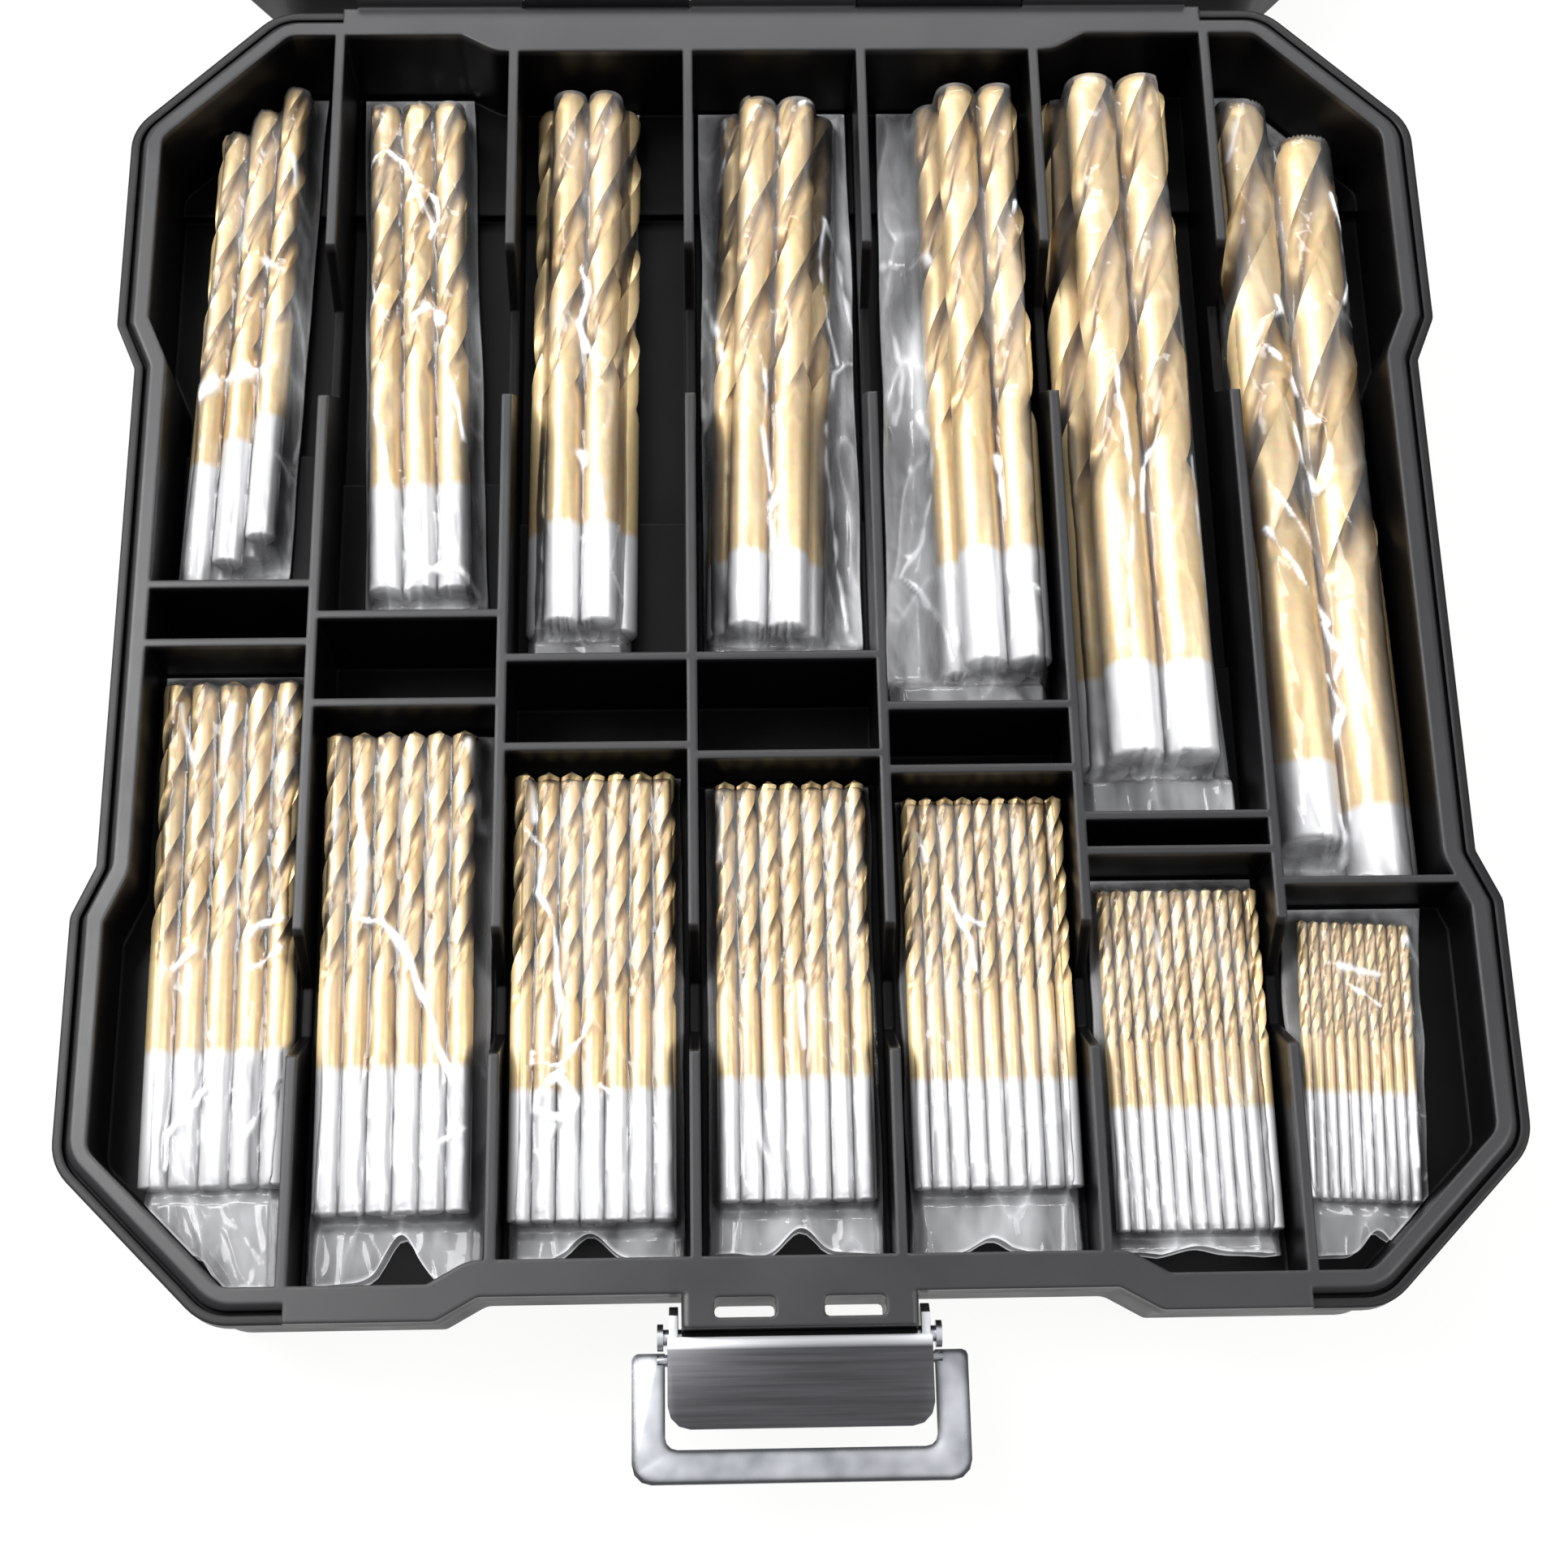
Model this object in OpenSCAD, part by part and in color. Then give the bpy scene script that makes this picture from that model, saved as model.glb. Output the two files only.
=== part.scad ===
// Drill bit case: a shallow moulded tray with a hinged lid, a steel draw latch on
// the front, and fourteen clear bags of twist drills in two rows of pockets.
// X runs to the right, Y to the hinge, Z up. The origin is the middle of the
// tray's underside. The lid lies open flat behind the tray.

/* [Case] */
// Width across the four side bulges
case_w = 200; // [190:1:215]
// Depth of the tray from the front feet to the hinge side
case_l = 205.6; // [198:0.4:220]
// Height of the tray
base_h = 21.5; // [20:0.5:26]
// 45 degree cut of each corner
corner_cut = 21.5; // [16:0.5:26]
// How far each side steps in between its two bulges
waist_in = 3.1; // [1.5:0.1:4]
// Half length of the narrow middle of each side
waist_half = 39.2; // [30:0.2:44]
// Length of the slanted step between the waist and a bulge
step_run = 7.3; // [4:0.1:10]
// Half width of the shallow recess in the front edge
recess_half = 42.5; // [32:0.5:50]
// Depth of the recess in the front edge
recess_in = 3.1; // [1.5:0.1:4]
// Width of the slanted end of the recess
recess_run = 5.5; // [3:0.1:8]
// Corner radius at the 45 degree cuts
corner_r = 8; // [5.5:0.5:12]

/* [Walls] */
// Width of the flat rim
rim_w = 4.85; // [4.2:0.05:5.6]
// Height of the rim flange on the tray and on the lid
flange_h = 4; // [3:0.5:6]
// How far the walls stand in under the rim flange
wall_in = 1.6; // [1:0.1:2.2]
// Thickness of the floor and of the lid's panel
floor_t = 2.2; // [1.6:0.1:3]
// Thickness of the long dividers
divider_t = 1.5; // [1:0.1:2.2]
// Thickness of the cross walls
cross_t = 1.2; // [1:0.1:2]
// Slope that softens the outer edges of the floor and the lid panel
edge_soft = 2; // [1:0.5:3]

/* [Rim seal] */
// Width of the lower ledge round the outside of the rim
ledge_w = 1.3; // [0.9:0.1:1.6]
// Drop of the ledge below the rim
ledge_drop = 1; // [0.6:0.1:1.4]
// Width of the groove beside the ledge
groove_w = 0.6; // [0.4:0.1:0.9]
// Depth of the groove below the ledge
groove_depth = 1; // [0.5:0.1:1.5]
// Slope along the outer edge of the ridge, beside the groove
ridge_soft = 0.8; // [0.4:0.1:0.9]
// Half length of the plain front and rear stretches of the rim
plain_half = 68; // [60:1:72]
// Gap between the tray's rim and the closed lid
seal_gap = 0.2; // [0.1:0.05:0.4]

/* [Pockets] */
// Width of the two outer pockets, from the middle of the divider to the rim
side_pocket = 26.775; // [26.025:0.025:27.525]
// Room past the ends of the drills in each front pocket, from left to right
front_room = [16.5, 12, 10, 12.5, 14, 9.5, 13.8];
// Room past the ends of the drills in each rear pocket, from left to right
rear_room = [14, 13, 13, 13, 13, 14, 13];
// Distance from each front pocket to the rear pocket behind it
middle_len = [10.4, 14.9, 14.9, 16.4, 10.9, 6.4, 1.1];
// Depth of the front row below the rim
front_depth = 12; // [11:0.5:14]
// Height of the raised pads in the rear row
pad_h = 1.8; // [1:0.1:2.4]
// Length of the pad under the drill tips
tip_pad = 22; // [14:1:30]
// Length of the pad under the shanks
shank_pad = 29; // [20:1:34]
// Depth of the finger notches in the dividers
notch_depth = 11; // [6:0.5:14]
// Middle of the notches in the rear row
notch_rear_y = 47; // [40:1:55]
// Half length of a rear notch at the rim
notch_rear_half = 13; // [9:0.5:16]
// Middle of the notches in the front row
notch_front_y = -58; // [-62:1:-54]
// Half length of a front notch at the rim
notch_front_half = 9; // [6:0.5:11]
// Thickness of the ribs under the raised front floor
rib_t = 2; // [1.6:0.1:3]

/* [Hinge] */
// Half length of the row of hinge knuckles
hinge_half = 66; // [50:1:72]
// Outer radius of the knuckles
knuckle_r = 2.6; // [2.2:0.1:3]
// Radius of the hinge pin
hinge_pin_r = 1.2; // [0.9:0.05:1.5]
// Gap between neighbouring knuckles, and from a knuckle to the other shell
knuckle_gap = 0.3; // [0.2:0.05:0.5]
// Radial clearance of a pin in its bores
pin_gap = 0.05; // [0.03:0.01:0.08]

/* [Latch] */
// Half width of the moulded latch block
block_half = 15.7; // [13:0.1:16.5]
// How far the block stands out from the recess
block_out = 4.5; // [4:0.1:6]
// Height of the block
block_h = 9; // [8:0.5:10]
// Radius of the lever's pin
latch_pin_r = 1.1; // [0.8:0.05:1.2]
// Height of the pin below the rim
latch_pin_drop = 6.5; // [6:0.1:7]
// Distance from the front of the block to the pin
latch_pin_out = 0.4; // [0.2:0.1:0.8]
// Thickness of the lever's steel sheet
lever_t = 1; // [0.8:0.1:1.2]
// Reach of the lever from its pin
lever_reach = 12.2; // [11:0.1:13.5]
// Height of the lever's plate above its pin
lever_rise = 2.1; // [1.9:0.1:2.4]
// Distance from the lever's pin to the pivot of the loop
crank = 3; // [2.9:0.1:3.6]
// Reach of the loop from its pivot
loop_reach = 16; // [15:0.1:18]
// Width of the loop's arms and bar
loop_w = 4.4; // [3.6:0.1:5]
// Thickness of the loop's steel strip
loop_t = 1; // [0.8:0.1:1.2]
// Radius of the loop's pivot studs
stud_r = 0.8; // [0.6:0.05:0.9]

/* [Drills] */
// Diameter of the drills in each rear pocket
rear_d = [4.5, 5, 5.5, 6, 6.5, 8, 10];
// Flute length of the drills in each rear pocket
rear_flute = [47, 52, 57, 57, 63, 75, 85];
// Drills in the lower layer of each rear bag
rear_low = [2, 2, 3, 3, 2, 2, 0];
// Drills in the upper layer of each rear bag
rear_top = [3, 3, 2, 2, 2, 2, 2];
// Diameter of the drills in each front pocket
front_d = [4, 3.5, 3.2, 3, 2.5, 2, 1.5];
// Overall length of the drills in each front pocket
front_bit_len = [75, 70, 65, 61, 57, 49, 40];
// Flute length of the drills in each front pocket
front_flute = [43, 39, 36, 33, 30, 24, 18];
// Drills in the lower layer of each front bag
front_low = [0, 1, 1, 2, 1, 3, 8];
// Drills in the upper layer of each front bag
front_top = [5, 6, 7, 7, 9, 11, 10];
// Helix angle of the flutes
helix = 28; // [24:1:34]
// Thickness of the core between the flutes, as a share of the diameter
web = 0.36; // [0.28:0.02:0.44]

/* [Bags] */
// Thickness of the clear film
film_t = 0.3; // [0.2:0.05:0.4]
// Gap between neighbouring drills, and from the drills to the film
bit_gap = 0.12; // [0.08:0.02:0.2]
// Film past the tips of the drills
film_tip = 0.6; // [0.5:0.1:0.8]
// Film past the shanks of the drills
film_tail = 4; // [2:0.5:5]

/* [Hidden] */
$fn = 48;
eps = 0.01;
columns = 7;
half_w = case_w / 2;
half_l = case_l / 2;
rim_z = base_h;
hinge_y = half_l + knuckle_r + knuckle_gap;
hinge_z = rim_z + seal_gap / 2;
lid_z = rim_z + seal_gap;
lid_h = base_h;
recess_y = -half_l + recess_in;
block_y = recess_y - block_out;
latch_y = block_y - latch_pin_out;
latch_z = rim_z - latch_pin_drop;
loop_y = latch_y - crank;
ear_gap = 0.5;
ear_t = 1.2;
plate_half = block_half + ear_gap + ear_t + 0.2;
arm_gap = 0.4;
loop_half = plate_half + arm_gap + loop_w;
head_t = 0.8;
head_r = 1.8;
catch_gap = 0.2;
inner_rear_y = half_l - rim_w;
inner_front_y = -half_l + rim_w;
front_floor_z = rim_z - front_depth;
pad_z = floor_t + pad_h;
bag_lift = 0.1;
fit = 0.02;
layer_rise = 0.87;
pitch = (half_w - rim_w - side_pocket) * 2 / (columns - 2);

// Turn of an edge, and how far its ends move along it when the outline shrinks
function half_turn(rise, run) = tan(atan(rise / run) / 2);
waist_shift = half_turn(waist_in, step_run);
recess_shift = half_turn(recess_in, recess_run);

// One quarter of the case's outline, drawn in by inset
function quarter(inset) = [
    [recess_half + recess_shift * inset, half_l - recess_in - inset],
    [recess_half + recess_run + recess_shift * inset, half_l - inset],
    [half_w - corner_cut - inset * (sqrt(2) - 1), half_l - inset],
    [half_w - inset, half_l - corner_cut - inset * (sqrt(2) - 1)],
    [half_w - inset, waist_half + step_run + waist_shift * inset],
    [half_w - waist_in - inset, waist_half + waist_shift * inset]];

// Whole outline, counter-clockwise from the front
function whole(q) = concat(
    [for (p = q) [p[0], -p[1]]],
    [for (i = [len(q) - 1:-1:0]) q[i]],
    [for (p = q) [-p[0], p[1]]],
    [for (i = [len(q) - 1:-1:0]) [-q[i][0], -q[i][1]]]);

// Radius of each corner of a quarter, in the same order
function quarter_r(inset) = [
    1.5 + inset,
    max(0.6, 2.5 - inset / 2),
    corner_r - inset,
    corner_r - inset,
    max(0.6, 3 - inset / 2),
    1.5 + inset];
function whole_r(q) = concat(q, [for (i = [len(q) - 1:-1:0]) q[i]],
    q, [for (i = [len(q) - 1:-1:0]) q[i]]);

// Points of an arc that rounds the corner p between a and b with radius r
function arc(a, p, b, r, n) =
    let (u = (a - p) / norm(a - p), v = (b - p) / norm(b - p))
    let (half = acos(max(-1, min(1, u * v))) / 2)
    let (cut = min(r / tan(half), norm(a - p) * 0.48, norm(b - p) * 0.48))
    let (rr = cut * tan(half), mid = (u + v) / norm(u + v))
    let (c = p + mid * rr / sin(half), s = p + u * cut - c, e = p + v * cut - c)
    let (a0 = atan2(s[1], s[0]), turn = atan2(e[1], e[0]) - a0)
    let (sweep = turn > 180 ? turn - 360 : turn < -180 ? turn + 360 : turn)
    [for (k = [0:n]) c + rr * [cos(a0 + sweep * k / n), sin(a0 + sweep * k / n)]];
function rounded(points, radii) = [for (i = [0:len(points) - 1])
    let (r = is_list(radii) ? radii[i] : radii)
    each arc(points[(i + len(points) - 1) % len(points)], points[i],
        points[(i + 1) % len(points)], r, r > 3.5 ? 6 : r > 1 ? 3 : 2)];
function outline(inset) = rounded(whole(quarter(inset)), whole_r(quarter_r(inset)));
function box_outline(w, h, r) = rounded(
    [[-w / 2, -h / 2], [w / 2, -h / 2], [w / 2, h / 2], [-w / 2, h / 2]], r);

// Places of the dividers and of the pockets' ends
function column_x(i) = (i - (columns - 1) / 2) * pitch;
function front_wall_y(i) = inner_front_y + front_bit_len[i] + front_room[i];
function rear_wall_y(i) = front_wall_y(i) + middle_len[i];

// The drills of the rear row are as long as their pockets let them be
function rear_bit_len(i) = inner_rear_y - rear_wall_y(i) - rear_room[i];

// Clear width and middle of each pocket, the outer ones at the waist of the case
function outer(i) = i == 0 || i == columns - 1;
function pocket_w(i) = outer(i) ? side_pocket - waist_in - divider_t / 2 : pitch - divider_t;
function pocket_x(i) = outer(i)
    ? sign(column_x(i)) * (half_w - rim_w - waist_in - pocket_w(i) / 2) : column_x(i);

module slab(inset, z, h) {
    translate([0, 0, z]) linear_extrude(h) polygon(outline(inset));
}

// Slab whose sides slope inwards by its own height
module softened(inset, h) {
    taper = [(half_w - inset - h) / (half_w - inset), (half_l - inset - h) / (half_l - inset)];
    linear_extrude(h, scale = taper, slices = 1) polygon(outline(inset));
}

// The plain shell that the tray and the lid share, standing on z = 0, rim up.
// The sides carry a ledge round a raised ridge. The hinge side has no recess.
module shell(h) {
    translate([0, 0, edge_soft]) mirror([0, 0, 1]) softened(wall_in, edge_soft);
    slab(wall_in, edge_soft - eps, h - flange_h - edge_soft + 2 * eps);
    slab(0, h - flange_h, flange_h - ledge_drop);
    slab(ledge_w + groove_w, h - ledge_drop - eps, ledge_drop - ridge_soft + 2 * eps);
    translate([0, 0, h - ridge_soft]) softened(ledge_w + groove_w, ridge_soft);
    intersection() {
        slab(0, h - flange_h, flange_h);
        translate([-plain_half, -half_l, 0]) cube([2 * plain_half, case_l, h]);
    }
}

// Strip that fills the recess on the hinge side, at side = 1
module hinge_rail(side, h) {
    rail_half = recess_half + recess_run + 4;
    translate([-rail_half, side > 0 ? half_l - rim_w : -half_l, h - flange_h])
        cube([2 * rail_half, rim_w, flange_h]);
}

// Thin groove beside the ledge, off the plain front and rear stretches
module seal_groove(h) {
    depth = ledge_drop + groove_depth;
    difference() {
        slab(ledge_w, h - depth, depth + eps);
        slab(ledge_w + groove_w, h - depth - 1, depth + 2);
        translate([-plain_half, -half_l, h - depth - 1])
            cube([2 * plain_half, case_l, depth + 2]);
    }
}

// Box between two heights and two depths in one column, less half a divider
module column_box(i, y0, y1, z0, z1) {
    left = i == 0 ? half_w : pitch / 2 - divider_t / 2;
    right = i == columns - 1 ? half_w : pitch / 2 - divider_t / 2;
    translate([column_x(i) - left, y0, z0]) cube([left + right, y1 - y0, z1 - z0]);
}

module pockets() {
    top = rim_z + 1;
    intersection() {
        slab(rim_w, 0, top);
        union() for (i = [0:columns - 1]) {
            rear = rear_wall_y(i);
            front = front_wall_y(i);
            column_box(i, rear, half_l, pad_z, top);
            column_box(i, rear + shank_pad, inner_rear_y - tip_pad, floor_t, top);
            column_box(i, -half_l, front, front_floor_z, top);
            if (rear - front > 2 * cross_t + 1)
                column_box(i, front + cross_t, rear - cross_t, floor_t, top);
        }
    }
}

// Hollows between the ribs under the raised front floor
module under_ribs() {
    wide = (pitch - 2 * rib_t) / 2;
    intersection() {
        slab(rim_w + rib_t, -1, front_floor_z);
        union() for (i = [0:columns - 1], side = [-1, 1])
            translate([column_x(i) + side * (wide + rib_t) / 2 - wide / 2,
                -half_l, -1])
                cube([wide, half_l + front_wall_y(i) - rib_t,
                    front_floor_z - floor_t + 1]);
    }
}

// Finger notches with sloping ends, cut across the dividers
module notch(y, half) {
    for (i = [0:columns - 2])
        translate([column_x(i) + pitch / 2 - divider_t, y, rim_z - notch_depth])
            rotate([90, 0, 90]) linear_extrude(2 * divider_t)
                polygon([[-half + notch_depth / 2, 0], [half - notch_depth / 2, 0],
                    [half + 1, notch_depth + 2], [-half - 1, notch_depth + 2]]);
}

module knuckle(x0, x1) {
    translate([x0, hinge_y, hinge_z]) rotate([0, 90, 0]) cylinder(r = knuckle_r, h = x1 - x0);
}

// Knuckle number k of five, with the strap that ties it to the shell at the front
module strapped_knuckle(k, below) {
    long = 2 * hinge_half / 5;
    x0 = -hinge_half + k * long + knuckle_gap / 2;
    x1 = -hinge_half + (k + 1) * long - knuckle_gap / 2;
    strap = knuckle_r - seal_gap / 2;
    knuckle(x0, x1);
    translate([x0, half_l - rim_w / 2, below ? rim_z - strap : lid_z])
        cube([x1 - x0, hinge_y - half_l + rim_w / 2, strap]);
}

module hinge_bore() {
    translate([-hinge_half - 1, hinge_y, hinge_z]) rotate([0, 90, 0])
        cylinder(r = hinge_pin_r + pin_gap, h = 2 * hinge_half + 2);
}

module latch_block() {
    slot_w = 8.1;
    slot_x = 7.3;
    slot_l = 2.7;
    difference() {
        translate([0, recess_y + wall_in + 1, rim_z - block_h]) rotate([90, 0, 0])
            linear_extrude(block_out + wall_in + 1)
                translate([0, block_h / 2]) polygon(box_outline(2 * block_half, block_h, 0.8));
        for (side = [-1, 1])
            translate([side * slot_x, recess_y - 0.5 - slot_l / 2, rim_z - block_h - 1])
                linear_extrude(block_h + 2) polygon(box_outline(slot_w, slot_l, 0.6));
    }
    // Barrel that carries the lever's pin under the front of the block
    translate([-block_half, latch_y, latch_z]) rotate([0, 90, 0])
        cylinder(r = latch_pin_r + 0.8, h = 2 * block_half);
}

module base_tray() {
    color("#1b1b1d") difference() {
        union() {
            shell(base_h);
            hinge_rail(1, base_h);
            latch_block();
            for (k = [0, 2, 4]) strapped_knuckle(k, true);
        }
        pockets();
        seal_groove(base_h);
        under_ribs();
        notch(notch_rear_y, notch_rear_half);
        notch(notch_front_y, notch_front_half);
        hinge_bore();
        translate([-half_w, latch_y, latch_z]) rotate([0, 90, 0])
            cylinder(r = latch_pin_r + pin_gap / 2, h = case_w);
    }
}

// The lid as it sits when closed. Its lip drops beside the tray's ridge.
module closed_lid() {
    lip_drop = ledge_drop - seal_gap;
    hook_t = 1.5;
    hook_out = latch_y - loop_t / 2 - 0.3;
    hook_z = latch_z - crank + loop_reach - loop_w - catch_gap;
    difference() {
        union() {
            translate([0, 0, lid_z + lid_h]) mirror([0, 0, 1]) {
                shell(lid_h);
                slab(0, lid_h - flange_h, flange_h);
            }
            translate([0, 0, lid_z + lid_h]) mirror([0, 0, 1]) hinge_rail(1, lid_h);
            for (k = [1, 3]) strapped_knuckle(k, false);
            // Lip round the sides, off the plain stretches
            difference() {
                slab(0, lid_z - lip_drop - seal_gap + 0.1, lip_drop + 0.2);
                slab(ledge_w - 0.1, 0, 2 * lid_z);
                translate([-plain_half - 0.3, -half_l - 1, 0])
                    cube([2 * plain_half + 0.6, case_l + 2, 2 * lid_z]);
            }
            // Catch for the loop: a ledge with a small lip along its front
            translate([-block_half + 0.7, hook_out - 0.8, hook_z - hook_t])
                cube([2 * block_half - 1.4, recess_y + 2 - hook_out + 0.8, hook_t]);
            translate([-block_half + 0.7, hook_out - 0.8, hook_z - eps])
                cube([2 * block_half - 1.4, 0.8, 1.1 + eps]);
        }
        slab(rim_w, lid_z - 5, lid_h - floor_t + 5);
        hinge_bore();
    }
}

// The lid lies open flat: half a turn about the hinge pin
module lid() {
    color("#1b1b1d") translate([0, hinge_y, hinge_z]) rotate([180, 0, 0])
        translate([0, -hinge_y, -hinge_z]) closed_lid();
}

module hinge_pin() {
    color("silver") translate([-hinge_half + 0.5, hinge_y, hinge_z]) rotate([0, 90, 0])
        cylinder(r = hinge_pin_r, h = 2 * hinge_half - 1);
}

module latch_pin() {
    reach = plate_half + arm_gap + 0.2;
    color("silver") translate([0, latch_y, latch_z]) rotate([0, 90, 0]) {
        translate([0, 0, -reach]) cylinder(r = latch_pin_r, h = 2 * reach);
        for (side = [-1, 1])
            translate([0, 0, side * (reach + head_t / 2) - head_t / 2])
                cylinder(r = head_r, h = head_t);
    }
}

// Side view of one ear: y forward of the pin is negative
module ear_side() {
    top = lever_rise + lever_t / 2;
    circle(r = latch_pin_r + 1.2);
    translate([-crank, 0]) circle(r = stud_r + 1.1);
    translate([2.3, 0.5]) circle(r = 1.7);
    polygon([[3.2, 1.9], [2.6, top], [-lever_reach + 3, top], [-lever_reach + 3.4, 1.4],
        [-crank - 1.4, -1.2], [0, -latch_pin_r - 0.9], [2.6, -1.1]]);
}

module latch_lever() {
    ear_x = block_half + ear_gap;
    color("#6d6f78") translate([0, latch_y, latch_z]) difference() {
        union() {
            translate([0, -0.3, lever_rise]) linear_extrude(lever_t)
                polygon(rounded([[-plate_half, 0], [-plate_half, 0.3 - lever_reach],
                    [plate_half, 0.3 - lever_reach], [plate_half, 0]], [0.3, 3, 3, 0.3]));
            for (side = [-1, 1])
                translate([side * (ear_x + ear_t / 2) - ear_t / 2, 0, 0])
                    rotate([90, 0, 90]) linear_extrude(ear_t) ear_side();
        }
        translate([-plate_half - 1, 0, 0]) rotate([0, 90, 0])
            cylinder(r = latch_pin_r + pin_gap, h = 2 * plate_half + 2);
        translate([-plate_half - 1, -crank, 0]) rotate([0, 90, 0])
            cylinder(r = stud_r + pin_gap, h = 2 * plate_half + 2);
    }
}

module latch_loop() {
    inner = loop_half - loop_w;
    head = stud_r + 0.1;
    color("#c9ced2") translate([0, loop_y, latch_z]) {
        translate([0, 0, -loop_t / 2]) linear_extrude(loop_t) difference() {
            polygon(rounded([[-loop_half, head], [-loop_half, -loop_reach],
                [loop_half, -loop_reach], [loop_half, head]], [0.8, 2.6, 2.6, 0.8]));
            polygon(rounded([[-inner, head + 1], [-inner, -loop_reach + loop_w],
                [inner, -loop_reach + loop_w], [inner, head + 1]], [0.1, 1.6, 1.6, 0.1]));
        }
        for (side = [-1, 1])
            translate([side > 0 ? block_half + ear_gap + 0.1 : -inner - 1, 0, 0])
                rotate([0, 90, 0]) cylinder(r = stud_r, h = inner + 0.9 - block_half - ear_gap);
    }
}

// Cross-section of the fluted part: two lands with a hollow between them.
// Wide lands have two edges, narrow ones come to a single edge.
function flute_section(r, land) = [for (turn = [0, 180])
    each concat(
        land > 0 ? [r * [cos(turn - land), sin(turn - land)]] : [],
        [r * [cos(turn + land), sin(turn + land)]],
        [web * r * [cos(turn + 95), sin(turn + 95)]])];

// The section turned step by step along Z from z0 to z1, then drawn in to a point
module flutes(section, z0, z1, point, twist, steps) {
    n = len(section);
    rings = [for (k = [0:steps + 1])
        let (share = min(k, steps) / steps, size = k > steps ? 0.15 : 1)
        let (z = k > steps ? z1 + point : z0 + (z1 - z0) * share, turn = twist * share)
        each [for (q = section) [
            size * (q[0] * cos(turn) - q[1] * sin(turn)),
            size * (q[0] * sin(turn) + q[1] * cos(turn)), z]]];
    sides = [for (k = [0:steps], i = [0:n - 1])
        let (a = k * n + i, b = k * n + (i + 1) % n)
        each [[a, a + n, b], [b, a + n, b + n]]];
    polyhedron(rings, concat(sides, [[for (i = [0:n - 1]) i]],
        [[for (i = [n - 1:-1:0]) (steps + 1) * n + i]]));
}

// One twist drill along +Y, its shank end at the origin
module drill(d, long, flute, fine, spin) {
    r = d / 2 - fit;
    point = 0.6 * r;
    twist = 360 * (flute - point) * tan(helix) / (PI * d);
    steps = ceil(twist / (fine ? 45 : 58));
    rotate([-90, 0, 0]) {
        cylinder(r = r, h = long - flute, $fn = 24);
        rotate([0, 0, spin])
            flutes(flute_section(0.97 * r, fine ? 26 : 0), long - flute - r / 2,
                long - point, point, twist, steps);
    }
}

// Layers of drills that lie side by side, tips to the rear. The lower layer sits
// on the film and the upper one in the hollows above it. A slope sets the drills
// on one side further forward.
module bundle(d, long, flute, low, top, slope) {
    step = d + bit_gap;
    rise = low > 0 ? layer_rise * step : 0;
    off = layer_shift(d, low, top);
    for (k = [0:1:low - 1])
        let (x = (k - (low - 1) / 2) * step + off[0])
            translate([x, slope * x, d / 2]) drill(d, long, flute, false, 40 * k);
    for (k = [0:1:top - 1])
        let (x = (k - (top - 1) / 2) * step + off[1])
            translate([x, slope * x, d / 2 + rise])
                drill(d, long, flute, d > 4.2, 25 + 50 * k);
}

// Sideways shift of the lower and upper layers, so that one lies in the hollows
// of the other
function layer_shift(d, low, top) =
    let (half = low > 0 && (top - low) % 2 == 0 ? (d + bit_gap) / 2 : 0)
    low == top ? [-half / 2, half / 2] : [half, 0];
function bundle_w(d, low, top) =
    (max(low, top) + (low == top ? 0.5 : 0)) * (d + bit_gap) - bit_gap;
function bundle_h(d, low) = d + (low > 0 ? layer_rise * (d + bit_gap) : 0);

// Sleeve of film round a bundle, from y0 to y1, sealed at y1 and open at y0
module sleeve(w, h, y0, y1, grow, tip) {
    translate([0, y0 - (tip ? 0 : 1), film_t + bit_gap + h / 2]) rotate([90, 0, 180])
        linear_extrude(y1 - y0 + (tip ? 0 : 1 - film_t))
            polygon(box_outline(w + 2 * grow, h + 2 * grow, 0.4 + grow));
}

// Where each bundle lies. The first two values set it to the left (-1) or right (1)
// of its pocket's middle, at the shanks and at the tips, as shares of its free play.
// The third is the distance of its shanks from the pocket's front wall, and the last
// is its slope.
rear_place = [[-0.67, -0.14, 7.35, 0.93], [0.1, -0.48, 7.1, 0],
    [-0.73, -0.57, 8.45, 0], [-0.77, 0.19, 7, 0], [0.91, 0.79, 8.65, 0],
    [-0.83, -0.97, 9.95, 0], [0.73, -0.64, 4.65, -0.7]];
front_place = [[0.92, -0.39, 14.95, 0], [-0.18, -0.61, 10.6, 0],
    [-0.53, -0.53, 9.2, 0], [0.12, 0.12, 11.6, 0], [0.65, 0.65, 13.1, 0],
    [0.66, 0.66, 7, 0], [-0.73, -0.03, 10.95, 0]];

// Drills of this diameter that fit side by side in the pocket, at most n
function fitting(i, d, n) =
    min(n, floor((pocket_w(i) - 2 * film_t - bit_gap) / (d + bit_gap)));

// Offset from the pocket's middle and turn of a bundle that is w wide
function lie(i, place, w, long) =
    let (play = (pocket_w(i) - w) / 2 - bit_gap - film_t)
    [play * place[0], asin(play * (place[0] - place[1]) / long)];

module placed(i, wall_y, place, z, w, long) {
    spot = lie(i, place, w, long);
    translate([pocket_x(i) + spot[0], wall_y + place[2], z + bag_lift])
        rotate([0, 0, spot[1]]) children();
}

module bits(i, wall_y, place, z, d, long, flute, n_low, n_top) {
    low = fitting(i, d, n_low);
    top = fitting(i, d, n_top);
    color("#d9b878") placed(i, wall_y, place, z, bundle_w(d, low, top), long)
        translate([0, 0, film_t + bit_gap]) bundle(d, long, flute, low, top, place[3]);
}

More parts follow.
